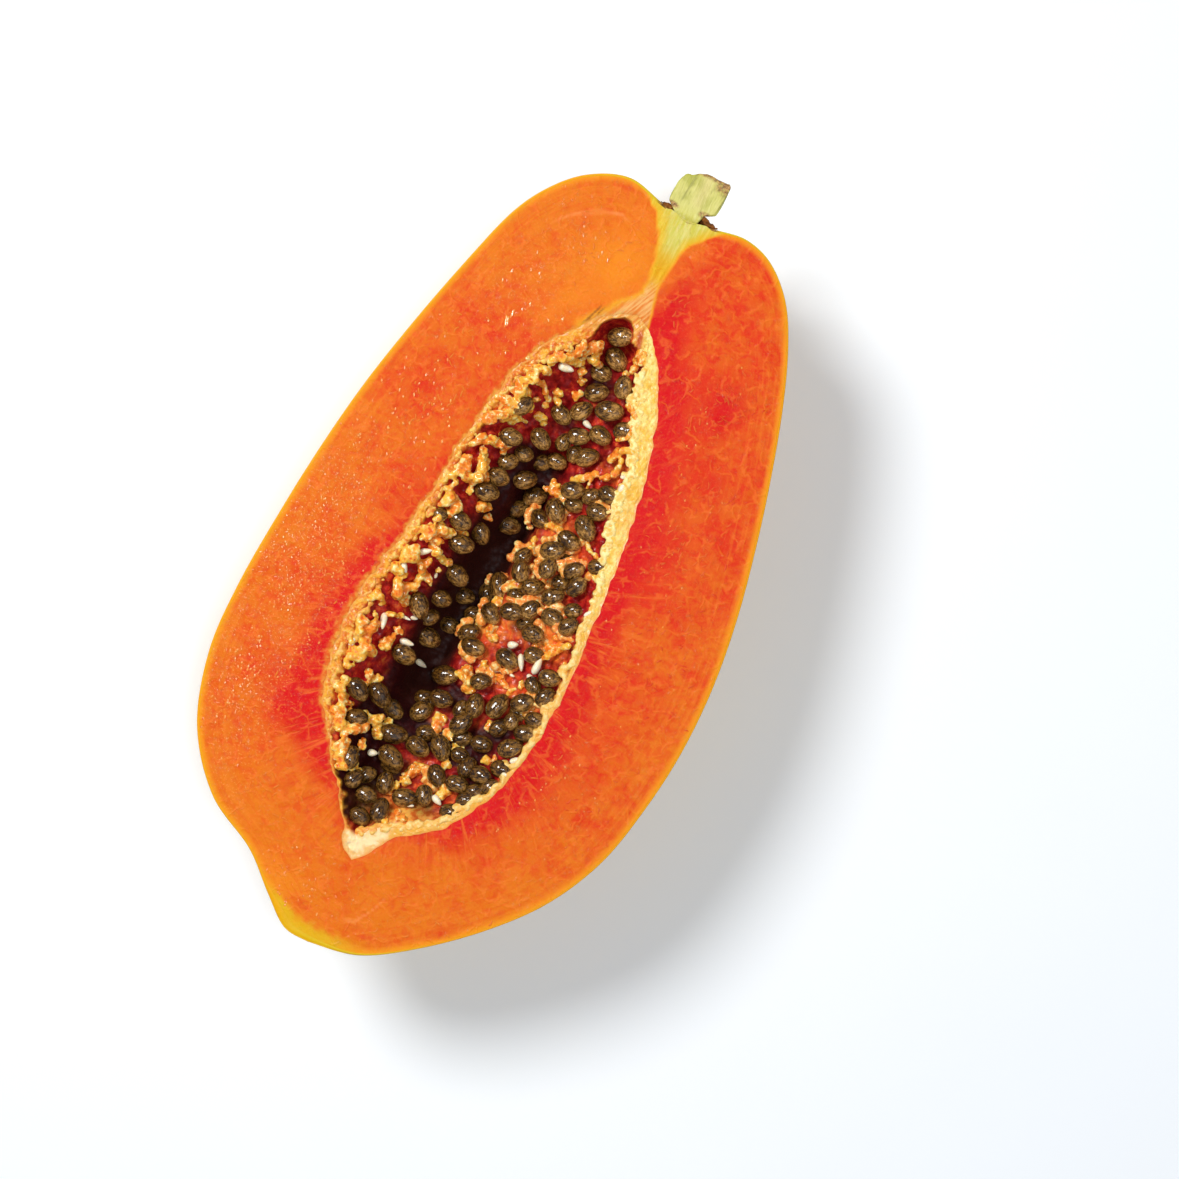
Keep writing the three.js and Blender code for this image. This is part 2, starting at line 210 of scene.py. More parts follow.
class Finish:
    """A material under construction: each method adds a node and gives back its socket. A number painted on
    the mesh is given by its name, and a colour by its screen values."""

    def __init__(self, name):
        self.material = bpy.data.materials.new(name)
        self.material.use_nodes = True
        self.tree = self.material.node_tree
        self.tree.nodes.clear()

    def node(self, kind, out=0, settings=None, **sockets):
        made = self.tree.nodes.new("ShaderNode" + kind)
        for key, value in (settings or {}).items():
            setattr(made, key, value)
        for key, value in sockets.items():
            self.feed(made.inputs[int(key[1:]) if key[0] == "_" else key.replace("_", " ")], value)
        return made.outputs[out]

    def feed(self, socket, value):
        if isinstance(value, str):
            value = self.node("Attribute", "Fac", {"attribute_name": value})
        if isinstance(value, bpy.types.NodeSocket):
            self.tree.links.new(value, socket)
        else:
            socket.default_value = tone(*value) if socket.type == "RGBA" else value

    def place(self):
        """The place on the fruit, in millimetres."""
        return self.vector("MULTIPLY", self.node("TexCoord", "Object"), (1 / MM, 1 / MM, 1 / MM))

    def vector(self, operation, a, b, out=0):
        return self.node("VectorMath", out, {"operation": operation}, _0=a, _1=b)

    def lean(self, where):
        """How far a place lies across the slanting strands at the cavity's tip."""
        return self.vector("DOT_PRODUCT", where, (0.9, -0.43, 0.0), 1)

    def join(self, x, y, z=0.0):
        return self.node("CombineXYZ", 0, None, X=x, Y=y, Z=z)

    def math(self, operation, a, b, clamp=False):
        return self.node("Math", 0, {"operation": operation, "use_clamp": clamp}, _0=a, _1=b)

    def times(self, a, b):
        return self.math("MULTIPLY", a, b)

    def plus(self, a, b, clamp=False):
        return self.math("ADD", a, b, clamp)

    def span(self, value, low, high, start=0.0, end=1.0):
        """From start to end as the value goes from low to high."""
        settings = {"interpolation_type": "SMOOTHSTEP"}
        return self.node("MapRange", 0, settings, Value=value, _1=low, _2=high, _3=start, _4=end)

    def grain(self, where, scale, detail=2.0, roughness=0.5, distortion=0.0):
        """Noise with so many cells to a millimetre."""
        sockets = {"Scale": scale, "Detail": detail, "Roughness": roughness, "Distortion": distortion}
        return self.node("TexNoise", 0, None, Vector=where, **sockets)

    def cells(self, where, scale, feature="F1"):
        return self.node("TexVoronoi", 0, {"feature": feature}, Vector=where, Scale=scale)

    def blend(self, share, a, b):
        return self.node("Mix", 2, {"data_type": "RGBA"}, _0=share, _6=a, _7=b)

    def shade(self, value, low, high, a, b):
        """One colour where the value is low, another where it is high."""
        return self.blend(self.span(value, low, high), a, b)

    def tint(self, colour, share, over, most=1.0):
        """A colour with another laid over it."""
        return self.blend(self.times(share, most), colour, over)

    def bump(self, height, distance, strength=1.0):
        """Relief, with its distance in millimetres."""
        return self.node("Bump", 0, None, Height=height, Distance=distance * MM, Strength=strength)

    def surface(self, colour, roughness, light_sinks=None, **sockets):
        """The finished shader. light_sinks says how light enters the piece: its weight, the reach of red,
        green and blue, and the depth in millimetres."""
        shader = self.tree.nodes.new("ShaderNodeBsdfPrincipled")
        sockets.update(Base_Color=colour, Roughness=roughness)
        if light_sinks:
            weight, reach, depth = light_sinks
            sockets.update(Subsurface_Weight=weight, Subsurface_Radius=reach, Subsurface_Scale=depth * MM)
        for key, value in sockets.items():
            self.feed(shader.inputs[key.replace("_", " ")], value)
        output = self.tree.nodes.new("ShaderNodeOutputMaterial")
        self.tree.links.new(shader.outputs[0], output.inputs["Surface"])
        return self.material


def ragged(curve, amount, size, seed):
    """The same curve, wavering by about that amount, but not at its ends."""
    share = np.linspace(0, 1, 2401)
    points = curve(share)
    along = np.gradient(points, axis=0)
    aside = np.stack([along[:, 1], -along[:, 0]], -1) / np.linalg.norm(along, axis=1)[:, None]
    travel = share * np.linalg.norm(along, axis=1).sum() / size
    slow = np.array([noise.noise(Vector((t, seed, 0.5))) for t in travel])
    fast = np.array([noise.noise(Vector((t * 2.7, seed, 9.5))) for t in travel])
    fade = smooth(0, 0.05, share) * smooth(1, 0.95, share)
    points = points + aside * ((slow + 0.5 * fast) * fade * amount)[:, None]
    return lambda at: np.stack([np.interp(at, share, points[:, k]) for k in (0, 1)], -1)


def at_stalk(x, y):
    """1 where the stalk grows into the fruit, given in metres."""
    return smooth(6.4 * MM, 4.6 * MM, np.abs(x - 2.8 * MM)) * smooth(92 * MM, 94 * MM, y)


def at_nose(x, y):
    """1 where the skin rolls up over the cut beside the blossom end, given in metres."""
    return bell(x / MM, -11, 10) * bell(y / MM, -105.5, 6)


skin_left, skin_right = outline(SKIN_LEFT), outline(SKIN_RIGHT)
cavity_left = ragged(outline(CAVITY_LEFT), 0.9 * MM, 4.5 * MM, 3.0)
cavity_right = ragged(outline(CAVITY_RIGHT), 0.5 * MM, 4.5 * MM, 8.0)
skin_ring = loop(skin_left, skin_right, FLESH_ROUND)
cavity_ring = loop(cavity_left, cavity_right, FLESH_ROUND)
skin_x, skin_y = skin_ring.T
peel_shows = 0.62 * (1 - at_stalk(skin_x, skin_y)) - 0.1 + 1.5 * at_nose(skin_x, skin_y)
flesh_edge = inset(skin_ring, (PEEL * peel_shows)[:, None])


def flesh_mesh():
    steps = np.linspace(0, 1, FLESH_RINGS)
    share = np.tile((steps - RING_CROWDING * np.sin(2 * math.pi * steps))[:, None], (1, FLESH_ROUND))
    width = np.linalg.norm(cavity_ring - flesh_edge, axis=1)
    share[-2] = 1 - LIP / width
    flat = flesh_edge * (1 - share[:, :, None]) + cavity_ring * share[:, :, None]
    from_skin = share * width
    from_cavity = width - from_skin
    points = np.concatenate([flat, np.full(flat.shape[:2] + (1,), CUT_Z - FACE_DROP)], -1)
    relief = sum(height * MM * rough(points, size * MM, seed) for height, size, seed in FACE_WAVES)
    points[:, :, 2] += relief * smooth(0, 2 * MM, from_skin)
    points[:, :, 2] -= 0.18 * MM * (1 - smooth(0, 1.2 * MM, from_cavity))
    wall = [points]
    for step in range(WALL_STEPS):
        down = points[-1:].copy()
        down[:, :, :2] -= (inset(cavity_ring, 1) - cavity_ring) * WALL_LEAN * step
        down[:, :, 2] -= LIP + WALL_FALL * step
        wall.append(down)
    mesh = sheet_mesh("cut_flesh", np.concatenate(wall), closed=True)
    x, y, in_skin, in_cavity = (v / MM for v in (points[:, :, 0], points[:, :, 1], from_skin, from_cavity))

    def keep(name, values, most=1):
        values = np.clip(values, 0, most)
        paint(mesh, name, np.concatenate([values] + [values[-1:]] * WALL_STEPS))

    round_steps = np.linalg.norm(np.diff(skin_ring, axis=0, append=skin_ring[:1]), axis=1)
    keep("along", np.tile(np.cumsum(round_steps) / MM, (FLESH_RINGS, 1)), None)
    keep("from_skin", in_skin, None)
    keep("from_cavity", in_cavity, None)
    # blood-red flesh hugs the cavity: all down its right side, and low on its left side
    right = smooth(-1, 1, x) * smooth(80, 60, y) * smooth(-84, -58, y)
    left = smooth(1, -1, x) * smooth(24, -24, y) * smooth(-78, -62, y)
    reach = 6.6 + 2.8 * rough(points, 14 * MM, 2) + 3.5 * left * bell(y, -53, 11)
    reach += 2.6 * right * (bell(y, -45, 22) + bell(y, 48, 16))
    keep("flush", (right + 0.95 * left) * np.exp(-((in_cavity / reach) ** 1.8)) + spots(x, y, FLUSH_SPOTS))
    # redder on the right of the stalk and towards the cavity, more orange round the blossom end
    warmth = 0.42 + 0.24 * smooth(-2, 14, x) * smooth(-10, 20, y)
    warmth += 0.12 * smooth(0, 14, x) * smooth(-70, -40, y)
    warmth += 0.22 * bell(in_cavity, 0, 9) - 0.22 * smooth(-62, -82, y) - 0.16 * smooth(14, 3, in_skin)
    warmth -= 0.22 * smooth(55, 78, y) * smooth(0, -8, x) * smooth(98, 88, y)
    keep("warmth", warmth + spots(x, y, WARM_SPOTS))
    keep("spoke_room", smooth(30, 0, y) * smooth(-90, -72, y) + 0.35 * smooth(20, 40, y) * smooth(66, 56, y))
    # a pale vein follows the outline of the lobe left of the stalk, and a short one bows over the nose
    vein = smooth(0.5, 0.15, np.abs(in_skin - 9.2 - 0.5 * rough(points, 9 * MM, 6)))
    vein *= smooth(-29, -25, x) * smooth(-9, -13, x) * smooth(70, 78, y)
    bow = np.abs(y + 99.6 - 0.18 * (x - 1) ** 2 + 0.4 * noise_map(x, y, 1.5))
    keep("vein", vein + 0.8 * smooth(0.7, 0.2, bow) * smooth(0, 3, x) * smooth(9, 7, x))
    # wettest on the left, and yellower against the stalk tissue and at the nose
    keep("wet", 0.2 + 0.8 * smooth(-28, -42, x) * smooth(24, -16, y) + spots(x, y, WET_SPOTS))
    keep("pale", spots(x, y, PALE_SPOTS))
    # at the nose the cut runs out into yellow-green peel
    reach = 2.0 + 2.2 * smooth(-17, -8, x)
    out = smooth(reach, 0.25 * reach, in_skin + 0.9 * noise_map(x, y, 2.2))
    keep("nose_peel", out * smooth(-22, -15, x) * smooth(12, -2, x) * smooth(-97, -102, y))
    # stalk tissue: broad under the stalk, narrowing on its way down, and broad again over the cavity's tip
    low, high = profile(y, STALK_TISSUE)
    slant = np.where(y < 75, x + 0.6 * y, x)
    split = 0.7 * noise_map(slant, y * 0.18, 1.3) + 0.6 * smooth(76, 84, y) * noise_map(x, y * 0.4, 1.5)
    soft = 1.4 + 2.6 * smooth(76, 70, y)
    wedge = smooth(-0.5 * soft, soft, x - low + split) * smooth(-0.9, 0.9, high - x + 0.4 * split)
    keep("stalk_tissue", wedge * smooth(57, 62, y))
    within = (x - low) / (high - low) + 0.12 * noise_map(x, y * 0.3, 1.2)
    keep("pale_core", smooth(0.08, 0.4, within) * smooth(0.98, 0.7, within) * smooth(80, 89, y))
    slope = x - 0.42 * (y - 64)
    crack = smooth(0.4, 0.15, np.abs(slope + 8.6 + 0.3 * noise_map(x, y, 2.0)))
    crack = np.maximum(crack, smooth(0.3, 0.1, np.abs(slope + 7.7)) * smooth(64, 65, y))
    keep("crack", crack * smooth(60.5, 62.5, y) * smooth(67.5, 66, y))
    # the left rim turns yellow and crumbly
    reach = 0.9 + 1.5 * bell(y, -33, 16) + 0.5 * bell(y, 40, 14)
    crumble = smooth(reach, 0.2 * reach, in_cavity - 0.5 * noise_map(x, y, 1.2))
    keep("left_rim", smooth(2, -2, x) * smooth(-70, -60, y) * crumble)
    return mesh


def flesh_finish():
    f = Finish("wet_flesh")
    place = f.place()
    mottle = f.grain(place, 0.4, 4.0, 0.62, 0.5)
    warm = f.plus("warmth", f.span(f.grain(place, 0.09, 3.0), 0.3, 0.7, -0.22, 0.22))
    warm = f.plus(warm, f.span(mottle, 0.3, 0.7, 0.3, -0.3), True)
    colour = f.tint(f.blend(warm, (225, 117, 18), (218, 50, 16)), "pale", (238, 142, 22), 0.8)
    edge = f.plus("flush", f.span(mottle, 0.3, 0.7, -0.2, 0.2), True)
    colour = f.tint(colour, f.span(edge, 0.02, 0.8), (212, 12, 20))
    # growth layers under the skin, loose curling fibres further in, spokes against the cavity
    layers = f.grain(f.join(f.times("along", 0.05), f.times("from_skin", 0.95)), 1.0, 3.0, 0.6, 0.35)
    outer = f.span("from_skin", 5.0, 14.0, 0.55, 0.12)
    colour = f.tint(colour, f.times(f.span(layers, 0.5, 0.66), outer), (240, 134, 40), 0.45)
    colour = f.tint(colour, f.times(f.span(layers, 0.48, 0.34), outer), (224, 60, 20), 0.4)
    drift = f.node("TexNoise", 1, None, Vector=place, Scale=0.22, Detail=3.0)
    swirl = f.vector("ADD", f.vector("MULTIPLY", place, (0.2, 0.2, 0.2)), drift)
    curl = f.span(f.cells(swirl, 1.1, "DISTANCE_TO_EDGE"), 0.01, 0.12, 1.0, 0.0)
    curl = f.times(curl, f.span(f.grain(place, 0.3, 2.0), 0.45, 0.58))
    spoke = f.grain(f.join(f.times("along", 0.42), f.times("from_cavity", 0.1)), 1.0, 3.0, 0.55, 0.6)
    spoke_room = f.times(f.span("from_cavity", 6.0, 20.0, 0.9, 0.0), "spoke_room")
    threads = f.math("MAXIMUM", f.times(curl, 0.6), f.times(f.span(spoke, 0.5, 0.72), spoke_room))
    colour = f.tint(colour, threads, (242, 126, 46), 0.6)
    colour = f.tint(colour, "vein", (246, 150, 84), 0.6)
    # painted sparkle: pale specks laid into the colour where the cut is wet, as highlights of its juice
    painted_sparkle = f.times(f.span(f.grain(place, 2.0, 2.0, 0.7), 0.56, 0.7), "wet")
    colour = f.tint(colour, painted_sparkle, (250, 166, 84), 0.5)
    colour = f.tint(colour, f.times(f.span(spoke, 0.46, 0.3), spoke_room), (206, 32, 18), 0.5)
    colour = f.tint(colour, f.span("from_skin", 0.0, 2.0, 0.9, 0.0), (240, 152, 24))
    crumbly = f.shade(f.grain(place, 0.6, 3.0), 0.4, 0.6, (228, 116, 34), (240, 172, 66))
    colour = f.tint(colour, "left_rim", crumbly, 0.75)
    # stalk tissue: slanting strands over the cavity's tip, upright ones further up
    upright = f.node("SeparateXYZ", 1, None, Vector=place)
    slanting = f.grain(f.join(f.lean(place), f.times(upright, 0.12)), 1.3, 3.0, 0.6)
    strand = f.grain(f.vector("MULTIPLY", place, (1.0, 0.12, 1.0)), 1.3, 4.0, 0.6)
    low = f.shade(slanting, 0.35, 0.65, (222, 122, 46), (237, 182, 110))
    middle, green, yellow = (f.shade(strand, 0.35, 0.7, *tones) for tones in TISSUE_TONES)
    top = f.shade(upright, 80, 90, middle, f.blend("pale_core", yellow, green))
    tissue = f.shade(upright, 74, 80, low, top)
    colour = f.tint(colour, f.span("stalk_tissue", 0.0, 0.6, 0.0, 0.8), (236, 168, 36))
    colour = f.tint(colour, f.span("stalk_tissue", 0.45, 1.0, 0.0, 0.95), tissue)
    colour = f.tint(colour, "crack", (140, 72, 24), 0.75)
    colour = f.tint(colour, "nose_peel", (222, 176, 24), 0.85)
    height = f.plus(f.times(f.grain(place, 1.0, 4.0, 0.6), 0.4), f.times(threads, 0.5))
    height = f.plus(height, f.times(mottle, 0.7))
    film = f.times(f.span(f.grain(place, 0.45, 2.0), 0.5, 0.6), "wet")
    return f.surface(
        colour, 0.45, (0.2, (1.0, 0.3, 0.1), 2.0),
        Specular_IOR_Level=0.08,
        Normal=f.bump(height, 0.5, 0.6),
        Coat_Weight=f.plus(f.times(film, 0.4), 0.04, True),
        Coat_Roughness=0.07,
        Coat_Normal=f.bump(f.grain(place, 0.42, 2.0, 0.5), 2.6),
    )


face = flesh_mesh()
place_piece("cut_flesh", face, flesh_finish(), ["flesh"])

# ---- Juice ----
# Beads of juice that the knife drew out of the flesh. They lie on the cut in long drops left of the cavity's
# tip, and as a fine dew down the left side.

# middle x and y and half widths of the wet place, number of beads, shortest and longest bead, in millimetres
WET_PLACES = [
    (-26, 62, 8, 15, 15, 0.9, 2.0), (-21, 80, 12, 7, 12, 0.6, 1.4), (-27, 52.5, 0.7, 2.4, 4, 1.8, 3.0),
    (-46, -18, 10, 34, 440, 0.38, 0.75), (-48, -58, 7, 12, 90, 0.5, 1.0), (-36, 24, 10, 22, 60, 0.5, 1.2),
    (-14, -96, 14, 8, 50, 0.5, 1.0), (30, 20, 14, 50, 40, 0.4, 0.8), (34, -50, 12, 20, 30, 0.4, 0.7),
]
BEAD_RINGS, BEAD_SIDES = 5, 8
BEAD_SPREAD, BEAD_HEADING, BEAD_HEIGHT = 0.55, 98, 0.24
LOWEST_BEAD = 1.2 * MM
CLOSE_UNDER = 0.02 * MM
drops = random.Random(11)


def tree_of(mesh):
    return BVHTree.FromPolygons([v.co for v in mesh.vertices], [p.vertices for p in mesh.polygons])


def straight_down(tree, x, y, over=5 * MM):
    """Where a line straight down at a place given in millimetres meets a mesh, and the normal there."""
    return tree.ray_cast(Vector((x * MM, y * MM, CUT_Z + over)), Vector((0, 0, -1)))[:2]


def turned(degrees):
    """A turn to a heading, seen from above."""
    return Matrix.Rotation(math.radians(degrees), 3, "Z")


def under_top(points):
    """The same points, none of them above the top of the solids."""
    points[:, 2] = np.minimum(points[:, 2], CUT_Z - CLOSE_UNDER)
    return points


def juice_mesh():
    domes, faces = [], []
    rise, turns = np.meshgrid(np.linspace(0, math.pi / 2, BEAD_RINGS), full_turn(BEAD_SIDES), indexing="ij")
    dome = np.stack([np.cos(rise) * np.cos(turns), np.cos(rise) * np.sin(turns), np.sin(rise) ** 0.8], -1)
    for middle_x, middle_y, wide, long, beads, shortest, longest in WET_PLACES:
        for _ in range(beads):
            x, y = drops.gauss(middle_x, wide * BEAD_SPREAD), drops.gauss(middle_y, long * BEAD_SPREAD)
            hit, _ = straight_down(face_tree, x, y)
            if hit is None or hit.z < CUT_Z - LOWEST_BEAD:
                continue
            length = drops.uniform(shortest, longest)
            girth = min(length * 0.7, 0.38 + 0.14 * length)
            heading = turned(BEAD_HEADING + drops.gauss(0, 12))
            size = np.array([length / 2, girth / 2, BEAD_HEIGHT * girth]) * MM
            middle = np.array((hit.x, hit.y, hit.z - 0.05 * MM))
            faces.append(quads_of(BEAD_RINGS, BEAD_SIDES, True) + len(domes) * BEAD_RINGS * BEAD_SIDES)
            domes.append((dome.reshape(-1, 3) * size) @ np.array(heading).T + middle)
    return smooth_mesh("juice_beads", under_top(np.concatenate(domes)), np.concatenate(faces))


def juice_finish():
    f = Finish("juice")
    colour = f.shade(f.grain(f.place(), 0.2, 2.0), 0.35, 0.65, (238, 112, 34), (246, 152, 62))
    return f.surface(colour, 0.12, Specular_IOR_Level=0.5, Coat_Weight=1.0, Coat_Roughness=0.06, Coat_IOR=1.6)


face_tree = tree_of(face)
place_piece("juice_beads", juice_mesh(), juice_finish())

# ---- Fibres ----
# Short ends of the fruit's fibres that the knife raised as it went through: pale orange threads, bent and
# half sunk in the flesh.

# middle x and y, half widths of the place, number of threads, heading in degrees (none: round the middle)
FIBRE_PLACES = [
    (31, 57, 7, 10, 46, None), (38, 32, 10, 16, 60, 70), (42, 0, 11, 20, 60, 40), (38, -46, 12, 20, 60, 10),
    (14, -90, 20, 8, 34, 0), (-32, -80, 14, 9, 26, 40), (-22, 80, 12, 8, 26, 30), (-36, 34, 9, 24, 34, 120),
    (-46, -30, 8, 30, 30, 60), (12, 76, 4, 6, 8, 60),
]
FIBRE_STEPS, FIBRE_SIDES = 9, 6
FIBRE_SPREAD, FIBRE_SINKS, LOWEST_FIBRE = 0.6, 0.62, 0.9 * MM
threads_of = random.Random(5)


def fibre_mesh():
    points, faces = [], []
    turns = full_turn(FIBRE_SIDES)[:, None]
    for middle_x, middle_y, wide, long, number, heading in FIBRE_PLACES:
        for _ in range(number):
            x = threads_of.gauss(middle_x, wide * FIBRE_SPREAD)
            y = threads_of.gauss(middle_y, long * FIBRE_SPREAD)
            length, radius = threads_of.uniform(1.2, 3.4), threads_of.uniform(0.2, 0.36)
            around = math.atan2(y - middle_y, x - middle_x) + math.pi / 2
            angle = around if heading is None else math.radians(heading + threads_of.gauss(0, 28))
            bend = threads_of.gauss(0, 0.16)
            rings = []
            for step in range(FIBRE_STEPS):
                hit, _ = straight_down(face_tree, x, y)
                if hit is None or hit.z < CUT_Z - LOWEST_FIBRE:
                    break
                thick = radius * math.sin(math.pi * (step + 0.25) / (FIBRE_STEPS - 0.5)) ** 0.6
                aside = np.array((-math.sin(angle), math.cos(angle), 0.0))
                ring = np.cos(turns) * aside + np.sin(turns) * np.array((0, 0, 1.0))
                rings.append(np.array((x, y, hit.z / MM - FIBRE_SINKS * radius)) + ring * thick)
                x += length / FIBRE_STEPS * math.cos(angle)
                y += length / FIBRE_STEPS * math.sin(angle)
                angle += bend + threads_of.gauss(0, 0.12)
            if len(rings) == FIBRE_STEPS:
                faces.append(quads_of(FIBRE_STEPS, FIBRE_SIDES, True) + sum(len(p) for p in points))
                points.append(np.concatenate(rings) * MM)
    points = under_top(np.concatenate(points))
    mesh = smooth_mesh("flesh_fibres", points, np.concatenate(faces))
    x, y, _ = points.T / MM
    paint(mesh, "orange_side", np.clip(smooth(8, -8, x) + smooth(-40, -80, y), 0, 1))
    return mesh


def fibre_finish():
    f = Finish("raised_fibre")
    red = f.shade(f.grain(f.place(), 0.2, 2.0), 0.35, 0.65, (224, 66, 22), (232, 96, 34))
    colour = f.blend("orange_side", red, (234, 118, 34))
    return f.surface(colour, 0.4, (0.3, (1.0, 0.3, 0.1), 1.5), Specular_IOR_Level=0.15)


place_piece("flesh_fibres", fibre_mesh(), fibre_finish())

# ---- Skin ----
# The thin waxy peel: a yellow line round the cut and the whole golden back, with five soft ribs, greenish
# mottling and brown flecks. Its softest spot is pressed flat where the half lies.

BACK_SKEW, BACK_LEVEL_Y = 1.2, -10 * MM
RIBS, RIB_HEIGHT = 5, 0.014
SKIN_STATIONS, SKIN_COLUMNS = 300, 130
END_CROWDING = 0.08
INSIDE = 0.998  # how much narrower the skin is than its outline, so that its ribs stay inside the solids
# distance in from the outline and drop under the cut, in millimetres: the cut edge of the peel
RIM_PROFILE = [(1.3, 1.1), (1.0, 0.52), (0.7, 0.38), (0.4, 0.36), (0.15, 0.5)]


def hang(left, right, share, turn, depth_at):
    """Points of a trough hung between two outlines: turn is 0 at the right rim and 1 at the left one."""
    a, b = right(share), left(share)
    angle = math.pi * turn
    flat = (a + b) / 2 + (a - b) / 2 * np.cos(angle)[..., None]
    half = np.linalg.norm(a - b, axis=-1) / 2
    return np.concatenate([flat, (CUT_Z - depth_at(flat, half, angle))[..., None]], -1)


def back_depth(flat, half, angle):
    """How deep the back hangs under the cut: a half round, fuller towards the stalk, with soft ribs."""
    rib = 1 - RIB_HEIGHT * np.sin(angle) * np.cos(RIBS * (angle - math.pi / 2))
    return half * (1 + BACK_SKEW * (flat[..., 1] - BACK_LEVEL_Y)) * np.sin(angle) * rib


def skin_mesh():
    even = np.linspace(0, 1, SKIN_STATIONS + 1)
    share = even - END_CROWDING * np.sin(2 * math.pi * even)
    shares, turns = np.meshgrid(share, np.linspace(0, 1, SKIN_COLUMNS + 1), indexing="ij")
    back = hang(skin_left, skin_right, shares, turns, back_depth)
    from_rim = np.sin(math.pi * turns)
    back[..., 2] = np.maximum(back[..., 2], 0.0)
    back[..., 2] -= 0.75 * MM * (1 - smooth(0, 0.07, from_rim))
    back[..., 2] -= 1.4 * MM * at_stalk(back[..., 0], back[..., 1]) * smooth(0.12, 0.0, from_rim)
    ring = np.concatenate([skin_right(share), skin_left(share)[-2:0:-1]])
    wider = 0.8 - 0.3 * smooth(0, 20 * MM, ring[:, 0]) + 1.8 * at_nose(*ring.T)
    right, left = [], []
    for distance, drop in RIM_PROFILE:
        flat = inset(ring, (distance * MM * wider)[:, None])
        deep = CUT_Z - (drop + 1.6 * at_stalk(*flat.T)) * MM
        line = np.concatenate([flat, deep[:, None]], 1)
        right.append(line[: SKIN_STATIONS + 1])
        left.insert(0, np.concatenate([line[:1], line[: SKIN_STATIONS - 1 : -1]]))
    points = np.concatenate([np.stack(right, 1), back, np.stack(left, 1)], 1)
    points[..., :2] *= INSIDE
    mesh = sheet_mesh("skin", points)
    x, y, z = points[..., 0] / MM, points[..., 1] / MM, (points[..., 2] - CUT_Z) / MM
    paint(mesh, "cut_rim", smooth(-1.6, -0.7, z))
    from_stalk = np.sqrt((x - 2.7) ** 2 + (y - 96.5) ** 2 + z**2) + 0.9 * rough(points, 1.6 * MM, 4)
    from_nose = np.sqrt((x - 3.4) ** 2 + (y + 108.2) ** 2 + (z + 3.6) ** 2) + 0.6 * rough(points, 1.6 * MM, 4)
    paint(mesh, "scar", np.clip(smooth(9.0, 7.6, from_stalk) + smooth(3.4, 2.2, from_nose), 0, 1))
    paint(mesh, "green_end", np.clip(smooth(34, 8, from_stalk) + 0.8 * smooth(30, 6, from_nose), 0, 1))
    return mesh


def skin_finish():
    f = Finish("waxy_skin")
    place = f.place()
    cloud = f.grain(place, 0.035, 4.0, 0.6, 0.3)
    patch = f.grain(place, 0.11, 4.0, 0.65, 0.6)
    green = f.times(f.span(patch, 0.48, 0.66), f.span(cloud, 0.3, 0.6, 0.25, 1.0))
    colour = f.tint(f.shade(cloud, 0.35, 0.68, (238, 168, 24), (244, 190, 38)), green, (196, 176, 40), 0.6)
    colour = f.tint(colour, f.times("green_end", f.span(patch, 0.3, 0.7, 0.3, 0.8)), (186, 182, 48))
    fleck = f.times(f.span(f.cells(place, 0.28), 0.0, 0.1, 1.0, 0.0), f.span(patch, 0.4, 0.6))
    colour = f.tint(colour, fleck, (120, 84, 26), 0.75)
    colour = f.tint(colour, f.span(f.grain(place, 0.6, 5.0, 0.7, 1.5), 0.68, 0.75), (150, 118, 52), 0.4)
    colour = f.tint(colour, "cut_rim", f.blend("green_end", (236, 160, 10), (214, 184, 28)))
    bark = f.shade(f.grain(place, 0.9, 3.0), 0.35, 0.65, (94, 60, 24), (166, 120, 58))
    colour = f.tint(colour, "scar", bark)
    height = f.plus(f.times(f.grain(place, 2.4, 3.0, 0.6), 0.25), f.times(f.grain(place, 0.2, 3.0), 1.4))
    return f.surface(
        colour, f.span(patch, 0.3, 0.7, 0.32, 0.46), (0.1, (1.0, 0.6, 0.2), 1.5),
        Normal=f.bump(height, 0.6, 0.6),
        Specular_IOR_Level=0.12,
        Coat_Weight=f.span("cut_rim", 0.0, 1.0, 0.3, 0.0),
        Coat_Roughness=0.2,
    )


place_piece("skin", skin_mesh(), skin_finish(), ["peel"])

# ---- Cavity lining ----
# The wall of the seed cavity: a crumbly pale band along its right rim, a rough orange one along its left rim,
# a smooth ivory patch at the blossom end, and a dark red wall that falls from them into the hollow.

RIM_DROP = 0.62  # the bands lie this many millimetres under the cut
# y, width of the left band and of the right band, in millimetres
BAND_WIDTHS = [
    (-86, 4.0, 5.0), (-80, 4.0, 5.5), (-78.5, 1.2, 6.5), (-76, 0.7, 5.5), (-72, 0.7, 3.6), (-66, 0.9, 2.4),
    (-56, 1.4, 1.2), (-46, 2.8, 0.9), (-34, 2.8, 0.8), (-22, 2.6, 1.1), (-10, 2.4, 1.9), (0, 2.0, 2.0),
    (10, 1.7, 3.6), (20, 1.5, 5.6), (25, 1.5, 4.8), (30, 1.6, 4.4), (35, 1.8, 3.9), (38, 1.9, 4.8),
    (41, 2.0, 5.8), (45, 2.6, 5.3), (50, 3.4, 5.5), (55, 4.8, 5.0), (58, 4.4, 3.6), (60, 3.8, 3.0),
    (61, 3.2, 5.0), (62, 2.7, 6.6), (64, 1.9, 5.6), (65, 1.5, 5.2), (66, 1.4, 4.9), (67, 2.0, 4.8),
    (68, 4.0, 5.5), (70, 4.0, 6.5),
]
# deep places between the seeds, sunk further and painted dark as shade: x, y, half widths and depth, in
# millimetres
HOLLOWS = [
    (-2.6, 12.0, 4.0, 9.0, 7.0), (-5.4, -6.0, 5.6, 13.0, 10.0), (-8.4, -28.0, 5.0, 12.0, 9.0),
    (-8.0, -41.0, 4.4, 6.0, 5.0), (-9.0, -62.0, 3.0, 2.6, 3.0), (-2.0, 26.0, 4.0, 4.5, 3.5),
]
